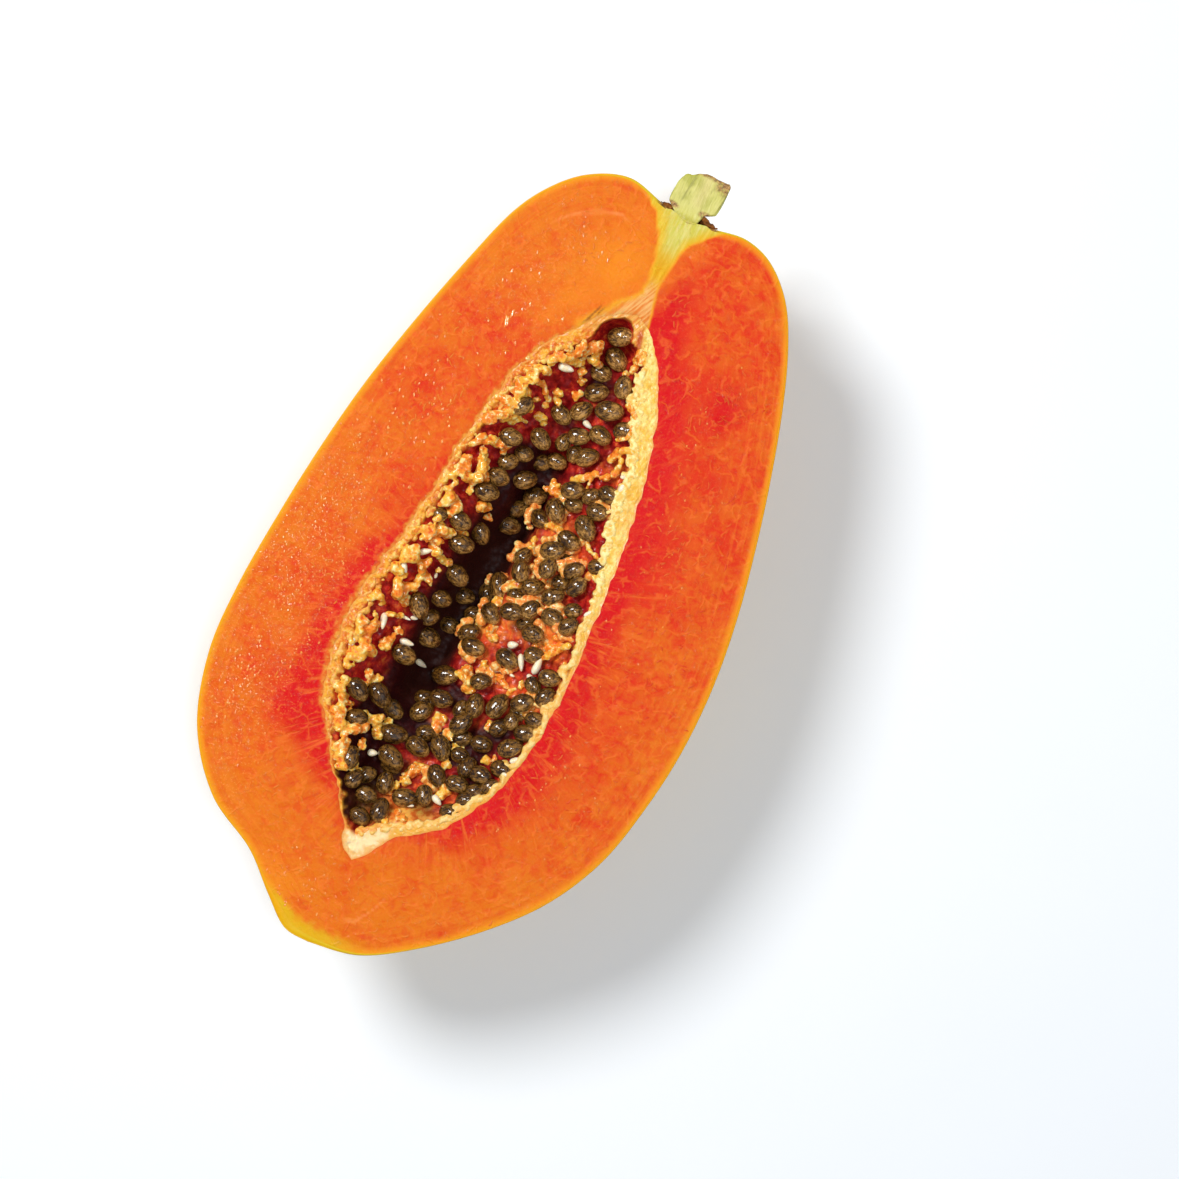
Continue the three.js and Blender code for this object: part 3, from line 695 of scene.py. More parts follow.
# gaps between the seeds painted dark as shade, and places where lit pulp shows between them: x, y, half
# widths, strength
DARK_GAPS = [
    (-0.5, 50, 5, 5, 0.9), (-3, 25, 8, 6, 1.0), (-4, 37, 5, 4, 0.9), (10.5, 22, 3, 3, 0.8),
    (-6, 14, 8, 7, 1.1), (-8, -2, 7, 14, 1.2), (-9.5, -20, 7, 11, 1.2), (-10.5, -38, 7, 10, 1.2),
    (-8, -62, 6, 4, 1.0), (12, -46, 5, 4, 0.9), (-1, -50, 7, 3, 1.0), (16, -40, 4, 3, 0.9),
    (8, -51, 4, 3, 0.9), (17, -55, 4, 4, 0.8), (-10, -70, 5, 8, 0.8), (0, 55, 5, 4, 0.5),
    (-9, 26, 5, 4, 0.9), (3, 48, 4, 4, 0.7), (9, 33, 3, 3, 0.8), (14, -6, 4, 4, 0.6), (-14, -62, 5, 7, 0.9),
    (2, -38, 4, 4, 0.9), (6, -66, 4, 3, 0.6), (-15, -51, 5, 4, 0.9), (8, 43, 3, 4, 0.7),
    (14, 45, 3, 5, 0.5), (-9, 44, 4, 4, 0.5),
]
PULP_GLOW = [
    (6, -2, 9, 8, 0.9), (4, -16, 6, 5, 0.7), (8, -28, 8, 4, 0.8), (0, -46, 5, 4, 0.5), (0, -59, 4, 4, 0.6),
    (19, -15, 4, 6, 0.9), (6, 12, 4, 5, 0.8), (10, -60, 4, 3, 0.6), (14, 32, 4, 5, 0.8),
    (5, -70, 8, 4, 0.9), (12, 8, 5, 6, 0.7), (14, -14, 6, 5, 0.7), (18, -32, 5, 6, 0.6),
    (1, -20, 4, 4, 0.8), (11, -42, 3, 3, 0.5),
]
# pulp left standing at the blossom end, and the wine-red spot in it: x, y, half widths, strength
STANDING_PULP, PALE_LEDGE, WINE_SPOT = (5, -72, 9, 5.5, 1), (5, -71.5, 8, 5, 1), (6.6, -70.4, 1.9, 1.9, 1)
WALL_STATIONS, WALL_COLUMNS = 380, 160
WALL_TOP = CUT_Z - 0.36 * MM


def in_hollows(x, y):
    """How far a place lies in the dark hollows, in millimetres of extra depth."""
    depth = 0
    for middle_x, middle_y, wide, long, deep in HOLLOWS:
        depth = depth + deep * np.exp(-(((x - middle_x) / wide) ** 4) - ((y - middle_y) / long) ** 4)
    return depth


def under_arch(x, y):
    """How far a place lies under the round arch that closes the hollow at the stalk end."""
    return np.where(y > 58, 66.9 - 0.14 * (x + 0.3) ** 2 - y, 99)


def past_bands(half, angle, y, waver):
    """How far a place lies past the left band and past the right one, in millimetres."""
    left, right = profile(y, BAND_WIDTHS)
    return half * (1 + np.cos(angle)) - left - waver, half * (1 - np.cos(angle)) - right - waver


def wall_depth(flat, half, angle):
    """How deep the cavity's wall hangs under the cut: flat bands at the rims, then a steep fall."""
    x, y, half = flat[..., 0] / MM, flat[..., 1] / MM, half / MM
    inner = np.maximum(half, 0.01)
    waver = (0.9 + 0.5 * smooth(-2, 2, x)) * smooth(59, 56, y) * noise_map(x, y, 1.6)
    from_left, from_right = past_bands(half, angle, y, waver)
    deep = inner * (0.62 + 0.16 * (1 - smooth(9, 20, half))) + 3.5 * smooth(48, 58, y)
    falls = [(from_left, 1.0 - 0.3 * smooth(54, 60, y)), (from_right, 0.7), (under_arch(x, y), 0.7)]
    falls = [np.sin(math.pi / 2 * np.clip(away / inner, 0, 1)) ** power for away, power in falls]
    fall = np.minimum.reduce(falls) * (1 - 0.22 * smooth(-0.2, 0.9, np.cos(angle)))
    steep = np.clip(np.minimum(from_left, from_right) / 3.5, 0, 1)
    low = 1 - 0.75 * spots(x, y, [STANDING_PULP])
    return (RIM_DROP + deep * fall * low + in_hollows(x, y) * steep) * MM


def wall_mesh():
    share, turn = np.linspace(0, 1, WALL_STATIONS + 1), np.linspace(0, 1, WALL_COLUMNS + 1)
    shares, turns = np.meshgrid(share, turn, indexing="ij")
    points = hang(cavity_left, cavity_right, shares, turns, wall_depth)
    x, y = points[..., 0] / MM, points[..., 1] / MM
    half = np.linalg.norm(cavity_left(shares) - cavity_right(shares), axis=-1) / 2 / MM
    away = half * (1 - np.abs(np.cos(math.pi * turns)))
    deep = smooth(1.0, 4.0, (CUT_Z - points[..., 2]) / MM)
    lumps = (0.55 * noise_map(x, y, 2.6) + 0.25 * noise_map(x + 9, y, 1.1)) * (0.12 + 0.88 * deep)
    lumps += smooth(-2, -6, x) * (1 - deep) * (0.45 * noise_map(x, y + 30, 1.9) + 0.3 * noise_map(x, y, 0.8))
    lumps += smooth(2, 6, x) * (1 - deep) * (0.32 * noise_map(x, y + 50, 1.7) + 0.34 * noise_map(x, y, 0.75))
    points[..., 2] += lumps * MM * smooth(0, 1.3, away) * (1 - 0.8 * smooth(56, 62, y) * deep)
    points[..., 2] = np.minimum(points[..., 2], WALL_TOP)
    mesh = sheet_mesh("cavity_wall", points)
    waver = 1.4 * smooth(59, 56, y) * noise_map(x, y, 1.6)
    from_left, from_right = past_bands(half, math.pi * turns, y, waver)
    soft = 0.3 + 0.9 * smooth(60, 56, y)
    paint(mesh, "pale_band", smooth(soft, -0.4 * soft, from_right))
    over_arch = smooth(0.4, -0.2, under_arch(x, y))
    paint(mesh, "orange_band", np.maximum(smooth(soft, -0.5 * soft, from_left), over_arch))
    paint(mesh, "low_end", np.clip(smooth(12, -30, y) + 0.5 * bell(y, 24, 7), 0, 1))
    ivory = smooth(-78.2, -79.8, y - 0.9 * np.maximum(x + 6, 0) + 0.9 * noise_map(x, y, 1.6))
    paint(mesh, "ivory_patch", ivory * smooth(3.4, 0.4, x))
    # painted shade: a dark red line down a fold of the lining, right of the cavity's tip
    fold = smooth(1.3, 0.2, np.abs(x - 4.3 - 0.25 * (66 - y)))
    paint(mesh, "fold", fold * smooth(60, 61.5, y) * smooth(66.5, 64, y))
    paint(mesh, "outer_edge", 0.7 * smooth(0.9, 0.1, away + 0.3 * noise_map(x, y, 1.2)) * smooth(64, 60, y))
    # painted shade: a mask of the deep hollows, which are painted dark
    paint(mesh, "hollow", smooth(1.0, 7.0, in_hollows(x, y)))
    paint(mesh, "tan_tip", smooth(59, 62, y) * smooth(5.6, 4.6, x))
    # painted shade in the gaps between the seeds, stronger towards the blossom end and weaker above the
    # middle
    shading = 1 - 0.4 * smooth(15, 30, y) + 0.5 * smooth(-35, -50, y)
    paint(mesh, "gap", np.clip(spots(x, y, DARK_GAPS) * shading, 0, 1))
    paint(mesh, "glow", np.clip(spots(x, y, PULP_GLOW), 0, 1))
    paint(mesh, "shelf", spots(x, y, [PALE_LEDGE]) * (1 - spots(x, y, [WINE_SPOT])))
    return mesh


def wall_finish():
    f = Finish("cavity_lining")
    place = f.place()
    mottle, fine = f.grain(place, 0.5, 3.0, 0.6), f.grain(place, 1.4, 3.0, 0.6)
    clot = f.grain(place, 0.33, 3.0, 0.55, 0.4)
    red = f.shade(mottle, 0.35, 0.65, (136, 11, 16), (200, 38, 30))
    pulp = f.shade(clot, 0.35, 0.65, (226, 84, 32), (250, 152, 60))
    colour = f.tint(red, f.span(mottle, 0.54, 0.7, 0.0, 0.45), pulp)
    glow = f.plus("glow", f.span(mottle, 0.3, 0.7, -0.3, 0.3), True)
    colour = f.tint(colour, f.times(glow, "glow"), pulp)
    # painted shade: near-black in the gaps between the seeds
    colour = f.tint(colour, f.span("gap", 0.05, 0.85, 0.0, 0.95), (34, 8, 10))
    colour = f.tint(colour, "shelf", f.shade(mottle, 0.4, 0.6, (228, 116, 36), (250, 196, 88)))
    orange = f.shade(clot, 0.4, 0.6, (224, 118, 26), (240, 164, 44))
    orange = f.tint(orange, f.span(fine, 0.5, 0.66), (248, 204, 96), 0.6)
    orange = f.tint(orange, f.span(fine, 0.46, 0.32), (196, 76, 22), 0.5)
    colour = f.tint(colour, "orange_band", orange)
    pale = f.shade(clot, 0.4, 0.62, (242, 192, 74), (249, 222, 134))
    pale = f.tint(pale, f.span(fine, 0.5, 0.36), (238, 170, 66), 0.6)
    pale = f.tint(pale, "low_end", (234, 162, 58), 0.7)
    pale = f.tint(pale, f.span(f.grain(place, 2.0, 3.0, 0.6), 0.54, 0.68), (214, 178, 98), 0.5)
    colour = f.tint(colour, "pale_band", pale)
    bands = f.math("MAXIMUM", "pale_band", "orange_band")
    slanting = f.grain(f.join(f.lean(place), 0.0), 1.3, 3.0, 0.6)
    tan = f.shade(slanting, 0.35, 0.65, (218, 122, 30), (240, 184, 88))
    colour = f.tint(colour, f.times(bands, "tan_tip"), tan)
    # painted shade along the fold
    colour = f.tint(colour, "fold", (180, 44, 22), 0.8)
    colour = f.tint(colour, "ivory_patch", f.shade(clot, 0.38, 0.6, (236, 184, 110), (250, 222, 168)))
    colour = f.tint(colour, "outer_edge", (236, 156, 66))
    # painted shade: dark red-brown down in the hollows
    colour = f.tint(colour, "hollow", (58, 24, 18))
    return f.surface(
        colour, 0.45, (0.2, (1.0, 0.35, 0.12), 2.0),
        Specular_IOR_Level=0.15,
        Normal=f.bump(f.plus(f.times(fine, 0.5), f.times(mottle, 0.8)), 0.5, 0.6),
        Coat_Weight=f.span(f.math("MAXIMUM", "gap", "hollow"), 0.0, 0.4, 0.25, 0.0),
        Coat_Roughness=0.15,
    )


wall = wall_mesh()
place_piece("cavity_wall", wall, wall_finish(), ["lining"])
wall_tree = tree_of(wall)


def wall_under(x, y):
    """The height and the normal of the cavity's wall under a place given in millimetres."""
    hit, normal = straight_down(wall_tree, x, y, 0)
    return (hit.z, normal) if hit else (CUT_Z - 2 * MM, Vector((0, 0, 1)))


# ---- Pulp ----
# Torn lumps and strings of soft orange-yellow pulp that held the seeds, and the crumbs that stand on the
# bands of the rim. They are grown from small overlapping balls and fused.

# x, y and radius in millimetres, and how far the lump stands over the wall
LUMPS = [
    (-4.8, 57.4, 2.3, 0.9), (-5.9, 55.9, 1.4, 0.8), (-3.4, 55.8, 1.3, 0.6), (-12.8, 54.6, 1.5, 0.7),
    (-10.6, 54.0, 1.4, 0.6), (-8.4, 52.8, 1.3, 0.9), (-6.4, 52.2, 1.3, 1.0), (-5.0, 50.4, 1.3, 0.9),
    (-4.0, 48.4, 1.2, 0.7), (-17.8, 47.2, 1.1, 0.5), (-15.2, 45.4, 1.3, 0.8), (-14.6, 43.2, 1.4, 0.9),
    (-16.6, 41.4, 1.5, 0.8), (-15.4, 39.0, 1.2, 0.6), (-12.2, 39.0, 1.0, 0.5), (-9.8, 38.9, 1.0, 0.4),
    (-8.0, 42.8, 1.4, 0.7), (-7.4, 41.2, 1.3, 0.5), (-3.6, 44.6, 1.4, 0.9), (-9.6, 35.4, 1.5, 0.8),
    (-8.2, 34.8, 1.2, 0.6), (-17.2, 33.4, 1.5, 0.9), (-17.6, 31.2, 1.3, 0.7), (-19.6, 29.0, 1.0, 0.4),
    (7.0, 60.6, 1.5, 0.8), (8.4, 59.0, 1.3, 0.7), (6.6, 58.2, 1.2, 0.5), (5.4, 54.6, 1.0, 0.6),
    (1.6, 20.8, 1.9, 2.4), (2.6, 19.8, 1.5, 2.0), (0.4, 20.4, 1.2, 1.8), (-15.2, 24.6, 1.3, 1.0),
    (-13.6, 25.2, 1.1, 0.9), (-14.4, 23.8, 1.2, 0.8), (-20.4, 23.2, 1.0, 0.6), (-18.8, 21.6, 1.3, 0.8),
    (-17.8, 19.8, 1.5, 0.9), (-17.0, 17.8, 1.3, 0.8), (-21.8, 17.4, 1.5, 0.7), (-20.4, 16.0, 1.3, 0.6),
    (-19.0, 13.8, 1.5, 0.5), (-17.4, 11.0, 1.1, 0.7), (-13.4, 8.4, 1.7, 0.9), (-11.6, 9.2, 1.3, 0.8),
    (-10.6, 7.0, 1.3, 0.5), (-22.4, 9.0, 1.3, 0.5), (-21.8, 6.0, 1.6, 0.7), (5.6, 12.4, 1.4, 1.0),
    (7.2, 11.8, 1.4, 0.9), (4.0, 11.6, 1.0, 0.9), (3.6, 4.6, 1.7, 0.7), (2.6, 6.8, 1.2, 0.5),
    (3.4, -5.4, 1.7, 0.9), (0.8, -11.8, 1.6, 1.2), (2.8, -18.8, 1.7, 0.6), (-1.0, -18.6, 1.3, 1.0),
    (4.0, -20.4, 1.3, 0.5), (18.8, -13.0, 1.5, 0.9), (18.2, -15.8, 1.6, 1.0), (17.8, -18.0, 1.4, 0.8),
    (20.4, -15.0, 1.4, 0.5), (1.6, -30.6, 2.1, 2.2), (2.8, -32.6, 2.0, 1.6), (0.8, -32.0, 1.5, 1.8),
    (3.6, -34.8, 1.5, 1.0), (9.8, -28.6, 1.3, 0.9), (11.8, -29.6, 1.2, 0.7), (13.6, -30.6, 1.2, 0.7),
    (4.6, -28.0, 1.3, 0.7), (8.0, -30.2, 1.3, 0.6), (15.6, -27.6, 1.0, 0.6), (-21.4, -2.2, 2.0, 1.4),
    (-19.6, -3.8, 1.8, 1.2), (-22.0, -4.2, 1.4, 1.0), (-17.6, -0.6, 1.6, 1.0), (-18.6, -5.8, 1.2, 0.7),
    (-19.2, -10.0, 1.3, 0.6), (-17.6, -13.8, 1.4, 0.8), (-19.8, -17.0, 1.6, 0.7), (-21.2, -19.2, 1.3, 0.6),
    (-15.4, -7.8, 1.2, 1.1), (-15.9, -10.6, 0.8, 0.7), (-19.0, -31.2, 1.3, 0.6), (-24.0, -36.4, 2.1, 1.0),
    (-20.0, -33.4, 1.7, 0.8), (-24.8, -33.6, 1.4, 0.6), (-20.2, -42.0, 1.6, 0.9), (-18.0, -42.2, 1.4, 0.9),
    (-18.6, -28.6, 1.2, 0.5), (-13.4, -51.6, 1.8, 1.3), (-12.4, -54.6, 1.8, 1.1), (-11.2, -51.2, 1.4, 1.0),
    (0.4, -44.8, 2.0, 0.8), (0.6, -47.0, 1.8, 0.7), (4.2, -46.6, 1.6, 1.4), (5.6, -47.6, 1.2, 1.1),
    (7.6, -49.0, 1.5, 0.7), (12.8, -40.4, 1.5, 0.8), (7.0, -54.0, 1.4, 1.3), (0.4, -58.8, 2.0, 1.1),
    (-0.4, -60.8, 1.6, 0.9), (2.6, -57.6, 1.5, 1.0), (9.8, -60.0, 1.8, 1.4), (9.2, -61.6, 1.3, 1.0),
    (-0.4, -62.4, 1.4, 1.8), (-2.0, -64.4, 1.0, 1.8), (-3.2, -66.6, 1.0, 1.6), (-14.2, -58.6, 1.3, 0.6),
    (-21.0, -56.8, 1.2, 0.6), (-19.0, -58.0, 1.2, 0.7), (-17.4, -59.4, 1.0, 0.6), (-13.6, -63.8, 1.0, 0.6),
    (1.4, -69.8, 1.2, 0.6), (3.2, -70.4, 1.3, 0.6), (-0.6, -73.0, 1.1, 0.8), (9.6, -69.2, 1.3, 0.6),
    (12.0, -68.0, 1.2, 0.5), (15.8, -48.8, 1.3, 0.8), (17.6, -47.2, 0.9, 0.6), (23.4, -18.4, 1.0, 0.4),
    (20.6, 4.8, 1.0, 0.9), (22.2, 5.2, 0.9, 0.9), (16.2, 5.4, 0.8, 0.9),
]
# thicker cords of pulp that hang from the right band: radius, then x and y along the cord, in millimetres
CORDS = [
    (1.15, [(16.5, 37.6), (14.2, 37.1), (12.4, 36.0), (11.5, 34.4), (11.3, 33.0)]),
    (0.9, [(13.8, 34.4), (14.1, 32.0), (13.5, 30.0), (12.0, 28.6), (10.6, 28.0)]),
    (1.0, [(9.4, 28.6), (7.8, 27.0), (6.2, 25.8), (4.4, 24.6)]), (0.5, [(9.0, 28.2), (9.0, 24.4)]),
    (0.8, [(9.4, 47.4), (11.2, 46.4), (12.6, 44.8)]), (0.9, [(6.0, 58.6), (6.4, 60.8), (8.0, 60.8)]),
    (0.8, [(8.4, 59.4), (7.0, 57.2), (6.2, 55.2)]), (0.7, [(18.6, 9.8), (16.0, 10.6), (14.8, 12.2)]),
    (0.9, [(21.8, -13.6), (19.6, -16.2), (17.6, -19.2)]), (0.7, [(12.6, 42.8), (12.8, 39.6), (10.4, 38.4)]),
]
PULP_VOXEL, CRUMB_VOXEL = 0.29 * MM, 0.3 * MM
STRINGS, CRUMBS = 74, 440
CORD_STANDS = 2.6
# how far in the crumbs start, as a share of the band, and their largest radius: left band, right band
CRUMB_START, CRUMB_RADIUS = (0.45, 0.75), (0.75, 1.0)
# waves of torn pulp: height, size in millimetres and seed
TEAR, TEAR_WAVES = 0.4 * MM, [(0.75, 1.1, 3), (0.35, 0.55, 5)]
dice = random.Random(7)


def ball_shape(detail):
    """The points and faces of a ball of radius 1."""
    bm = bmesh.new()
    bmesh.ops.create_icosphere(bm, subdivisions=detail, radius=1.0)
    shape = np.array([v.co for v in bm.verts]), np.array([[v.index for v in f.verts] for f in bm.faces])
    bm.free()
    return shape


BALL_POINTS, BALL_FACES = ball_shape(2)


def stretched(heading, stretch):
    """A pull along a heading given in radians."""
    return Matrix.Rotation(heading, 3, "Z") @ Matrix.Diagonal((stretch, 1, 1))


def fused(name, balls, voxel):
    """One skin over many overlapping balls, each given by its middle, radius, stretch and heading."""
    points, faces = [], []
    for number, (middle, radius, stretch, heading) in enumerate(balls):
        points.append(BALL_POINTS @ np.array(stretched(heading, stretch)).T * radius + np.array(middle))
        faces.append(BALL_FACES + number * len(BALL_POINTS))
    body = bpy.data.objects.new(name, smooth_mesh(name, np.concatenate(points), np.concatenate(faces)))
    bpy.context.scene.collection.objects.link(body)
    remesh = body.modifiers.new("remesh", "REMESH")
    remesh.mode, remesh.voxel_size = "VOXEL", voxel
    calm = body.modifiers.new("calm", "SMOOTH")
    calm.factor, calm.iterations = 0.5, 2
    mesh = bpy.data.meshes.new_from_object(body.evaluated_get(bpy.context.evaluated_depsgraph_get()))
    bpy.data.objects.remove(body)
    mesh.shade_smooth()
    return mesh


def vertices_of(mesh, kind="co"):
    """The places of a mesh's points, or their normals."""
    points = np.zeros(len(mesh.vertices) * 3, np.float32)
    mesh.vertices.foreach_get(kind, points)
    return points.reshape(-1, 3).astype(float)


def tear(mesh):
    """Roughens a fused skin as pulp tears, and keeps how far each point stands out."""
    points = vertices_of(mesh)
    raised = sum(height * rough(points, size * MM, seed) for height, size, seed in TEAR_WAVES)
    points = under_top(points + vertices_of(mesh, "normal") * (TEAR * raised)[:, None])
    mesh.vertices.foreach_set("co", points.ravel())
    bm = bmesh.new()
    bm.from_mesh(mesh)
    bmesh.ops.smooth_vert(bm, verts=bm.verts, factor=0.5, use_axis_x=True, use_axis_y=True, use_axis_z=True)
    bm.to_mesh(mesh)
    bm.free()
    paint(mesh, "raised", raised)
    return mesh


def over_wall(x, y, stands, room):
    """A place so far over the cavity's wall, but under the cut by some room, all given in millimetres."""
    return x * MM, y * MM, min(wall_under(x, y)[0] + stands * MM, CUT_Z - room * MM)


def pulp_mesh():
    balls = []
    for x, y, radius, stands in LUMPS:
        middle = Vector(over_wall(x, y, stands + 1.2 * smooth(-9, -16, x), radius * 0.8 + 0.5))
        heading, long = dice.uniform(-1.2, 1.9), dice.uniform(1.0, 1.7)
        balls.append((middle, radius * 0.66 * MM, long, heading))
        for _ in range(6 + int(radius * 6)):
            step = Vector((dice.gauss(0, 1), dice.gauss(0, 1), dice.gauss(0, 0.7))).normalized()
            step = stretched(heading, long) @ step
            away = radius * dice.uniform(0.4, 0.85) * MM
            balls.append((middle + step * away, max(dice.uniform(0.25, 0.5) * radius, 0.42) * MM, 1, 0))
    return tear(fused("pulp", balls + strings() + cords(), PULP_VOXEL))


def cords():
    balls = []
    for radius, path in CORDS:
        path = np.array(path)
        length = np.concatenate([[0], np.cumsum(np.hypot(*np.diff(path, axis=0).T))])
        for at in np.arange(0, length[-1], 0.5 * radius):
            x, y = (np.interp(at, length, path[:, k]) + dice.uniform(-0.2, 0.2) * radius for k in (0, 1))
            swell = radius * dice.uniform(0.7, 1.2)
            balls.append((Vector(over_wall(x, y, CORD_STANDS, swell + 0.4)), swell * MM, 1, 0))
    return balls


def strings():
    """Torn strings and worms of pulp down the left wall, each from the rim towards the seeds."""
    balls = []
    for number in range(STRINGS):
        y = 57 - 123 * number / (STRINGS - 1) + dice.uniform(-0.9, 0.9)
        rim_x = np.interp(y, *zip(*sorted((cy, cx) for cx, cy in CAVITY_LEFT)))
        x = rim_x + float(profile(y, BAND_WIDTHS)[0]) + dice.uniform(-1.0, 6.5) * smooth(-70, -50, y)
        heading, radius, rise = dice.uniform(-1.3, 1.1), dice.uniform(0.6, 1.4), dice.uniform(0.8, 3.0)
        length = dice.randint(3, 8)
        for bead in range(length):
            stands = 0.5 * radius + rise * math.sin(math.pi * (bead + 0.5) / length)
            swell = radius * dice.uniform(0.7, 1.25)
            balls.append((Vector(over_wall(x, y, stands, radius + 0.3)), swell * MM, 1, 0))
            x += 0.75 * radius * math.cos(heading)
            y += 0.75 * radius * math.sin(heading)
            heading += dice.uniform(-0.6, 0.6)
    return balls


def stands_out(f, place):
    """How far torn pulp stands out, with fine grain."""
    return f.plus("raised", f.span(f.grain(place, 1.6, 3.0, 0.6), 0.3, 0.7, -0.3, 0.3))


def pulp_finish():
    f = Finish("seed_pulp")
    place = f.place()
    raised = stands_out(f, place)
    colour = f.shade(f.grain(place, 0.22, 2.0), 0.4, 0.58, (246, 140, 40), (255, 186, 64))
    colour = f.tint(colour, "peach", (250, 152, 74))
    # painted highlight and shade: the parts of the torn pulp that stand out are painted pale cream, the
    # sunken parts darker red-orange
    colour = f.tint(colour, f.span(raised, 0.0, 0.55), (255, 232, 156), 0.85)
    colour = f.tint(colour, f.span(raised, -0.1, -0.7), (220, 80, 24), 0.85)
    return f.surface(
        colour, 0.4, (0.35, (1.0, 0.45, 0.15), 1.2),
        Normal=f.bump(f.grain(place, 2.2, 3.0, 0.6), 0.2, 0.6),
        Coat_Weight=0.7,
        Coat_Roughness=0.08,
        Specular_IOR_Level=0.1,
    )


def crumbs_mesh():
    """Crumbs in clumps along the inner edges of the two bands."""
    balls = []
    for side, (curve, other) in enumerate([(cavity_left, cavity_right), (cavity_right, cavity_left)]):
        inner = CRUMB_START[side]
        for step in range(CRUMBS):
            share = 0.04 + 0.91 * (step + dice.random()) / CRUMBS
            edge, across = curve(share), other(share) - curve(share)
            across = across / max(np.hypot(*across), 1e-6)
            y = edge[1] / MM
            if side == 0 and (y < -60 or dice.random() < 0.5) or y > 57:
                continue
            width = float(profile(y, BAND_WIDTHS)[side])
            clump = noise.noise(Vector((y * 0.28, (side + 1) * 5.0, 0)))
            away = max(width * dice.uniform(inner, 1.3) + 2.6 * max(clump, -0.15), inner * width)
            radius = dice.uniform(0.42, CRUMB_RADIUS[side]) + 0.6 * max(clump, 0)
            z = CUT_Z - (radius + 0.35 + 0.5 * max(away - width, 0)) * MM
            middle = Vector((*(edge + across * away * MM), z))
            balls.append((middle, radius * MM, dice.uniform(1, 1.6), dice.uniform(0, 3.1)))
    return tear(fused("rim_crumbs", balls, CRUMB_VOXEL))


def crumbs_finish():
    f = Finish("rim_crumb")
    place = f.place()
    raised = stands_out(f, place)
    # painted highlight and shade: each band's crumbs are painted paler where they stand out and darker where
    # they sink
    pale = f.shade(raised, -0.4, 0.4, (244, 190, 80), (252, 232, 156))
    orange = f.shade(raised, -0.5, 0.5, (226, 116, 28), (252, 206, 96))
    colour = f.blend("pale_side", orange, pale)
    colour = f.tint(colour, f.span(f.grain(place, 0.4, 2.0), 0.55, 0.75), (244, 164, 60), 0.5)
    colour = f.tint(colour, "low_end", (236, 164, 62), 0.4)
    return f.surface(
        colour, 0.5, (0.3, (1.0, 0.6, 0.25), 1.2),
        Normal=f.bump(f.grain(place, 2.6, 3.0, 0.6), 0.2, 0.7),
        Coat_Weight=0.2,
        Coat_Roughness=0.2,
    )


pulp_look = pulp_finish()
torn_pulp = pulp_mesh()
paint(torn_pulp, "peach", np.zeros(len(torn_pulp.vertices)))
place_piece("pulp", torn_pulp, pulp_look)
crumbs = crumbs_mesh()
crumb_x, crumb_y, _ = vertices_of(crumbs).T / MM
paint(crumbs, "pale_side", smooth(-3, 3, crumb_x))
paint(crumbs, "low_end", smooth(12, -30, crumb_y))
place_piece("rim_crumbs", crumbs, crumbs_finish())

# ---- Unripe seeds ----
# The few seeds that never swelled: small ivory drops, smooth and hard, with no jelly round them, stuck among
# the torn pulp.

# x, y, heading in degrees, length, thickness
UNRIPE_SEEDS = [
    (-8.8, 49.2, 5, 4.2, 2.8), (2.1, 39.0, -20, 3.0, 2.0), (16.2, 30.7, 20, 1.9, 1.4),
    (17.0, 28.2, 80, 2.8, 2.1), (-20.8, -7.7, 35, 3.8, 2.1), (-16.0, -12.0, 95, 1.6, 1.1),
    (-23.5, -14.0, -60, 4.0, 2.2), (-22.7, -28.0, -72, 4.4, 2.3), (-18.2, -25.0, 0, 2.8, 1.1),
    (-16.3, -24.2, 10, 1.9, 1.3), (-15.4, -30.6, 5, 3.9, 2.3), (-10.3, -34.5, -12, 3.4, 2.1),
    (9.2, -19.5, 30, 2.9, 2.5), (13.0, -22.6, -62, 4.6, 2.0), (17.1, -21.5, 88, 4.7, 2.6),
    (8.0, -26.9, 12, 3.6, 2.4), (17.0, -25.1, -25, 2.8, 1.9), (12.4, -26.6, 0, 1.4, 1.0),
    (-11.0, -59.5, 20, 2.7, 2.4), (9.0, -62.8, -25, 3.2, 2.3), (22.4, -45.0, 45, 3.0, 1.9),
    (21.7, -49.4, 0, 2.1, 1.4), (-27.3, -36.0, 80, 2.5, 2.0), (22.9, -4.0, 60, 2.6, 1.4),
    (-22.8, -19.6, -40, 2.4, 1.2), (3.4, -66.9, 15, 2.2, 1.3), (20.6, 12.2, 70, 1.8, 1.2),
]
# painted shade and light on the seeds: those at the blossom end are painted darker, those above the middle
# towards the stalk lighter
SHADE_AT_BLOSSOM_END, LIGHT_TOWARDS_STALK = 0.45, 0.3


def egg(long, thick, stations=14, sides=20, taper=0.5):
    """Rings of an egg lying along X, with its narrow end at +X."""
    rings = []
    turns = full_turn(sides)
    for station in range(stations + 1):
        angle = math.pi * station / stations
        girth = thick / 2 * math.sin(angle) * (1 - taper * (1 - math.cos(angle)) / 2)
        middle = np.full(sides, -long / 2 * math.cos(angle))
        rings.append(np.stack([middle, girth * np.cos(turns), girth * np.sin(turns)], -1))
    return np.stack(rings)


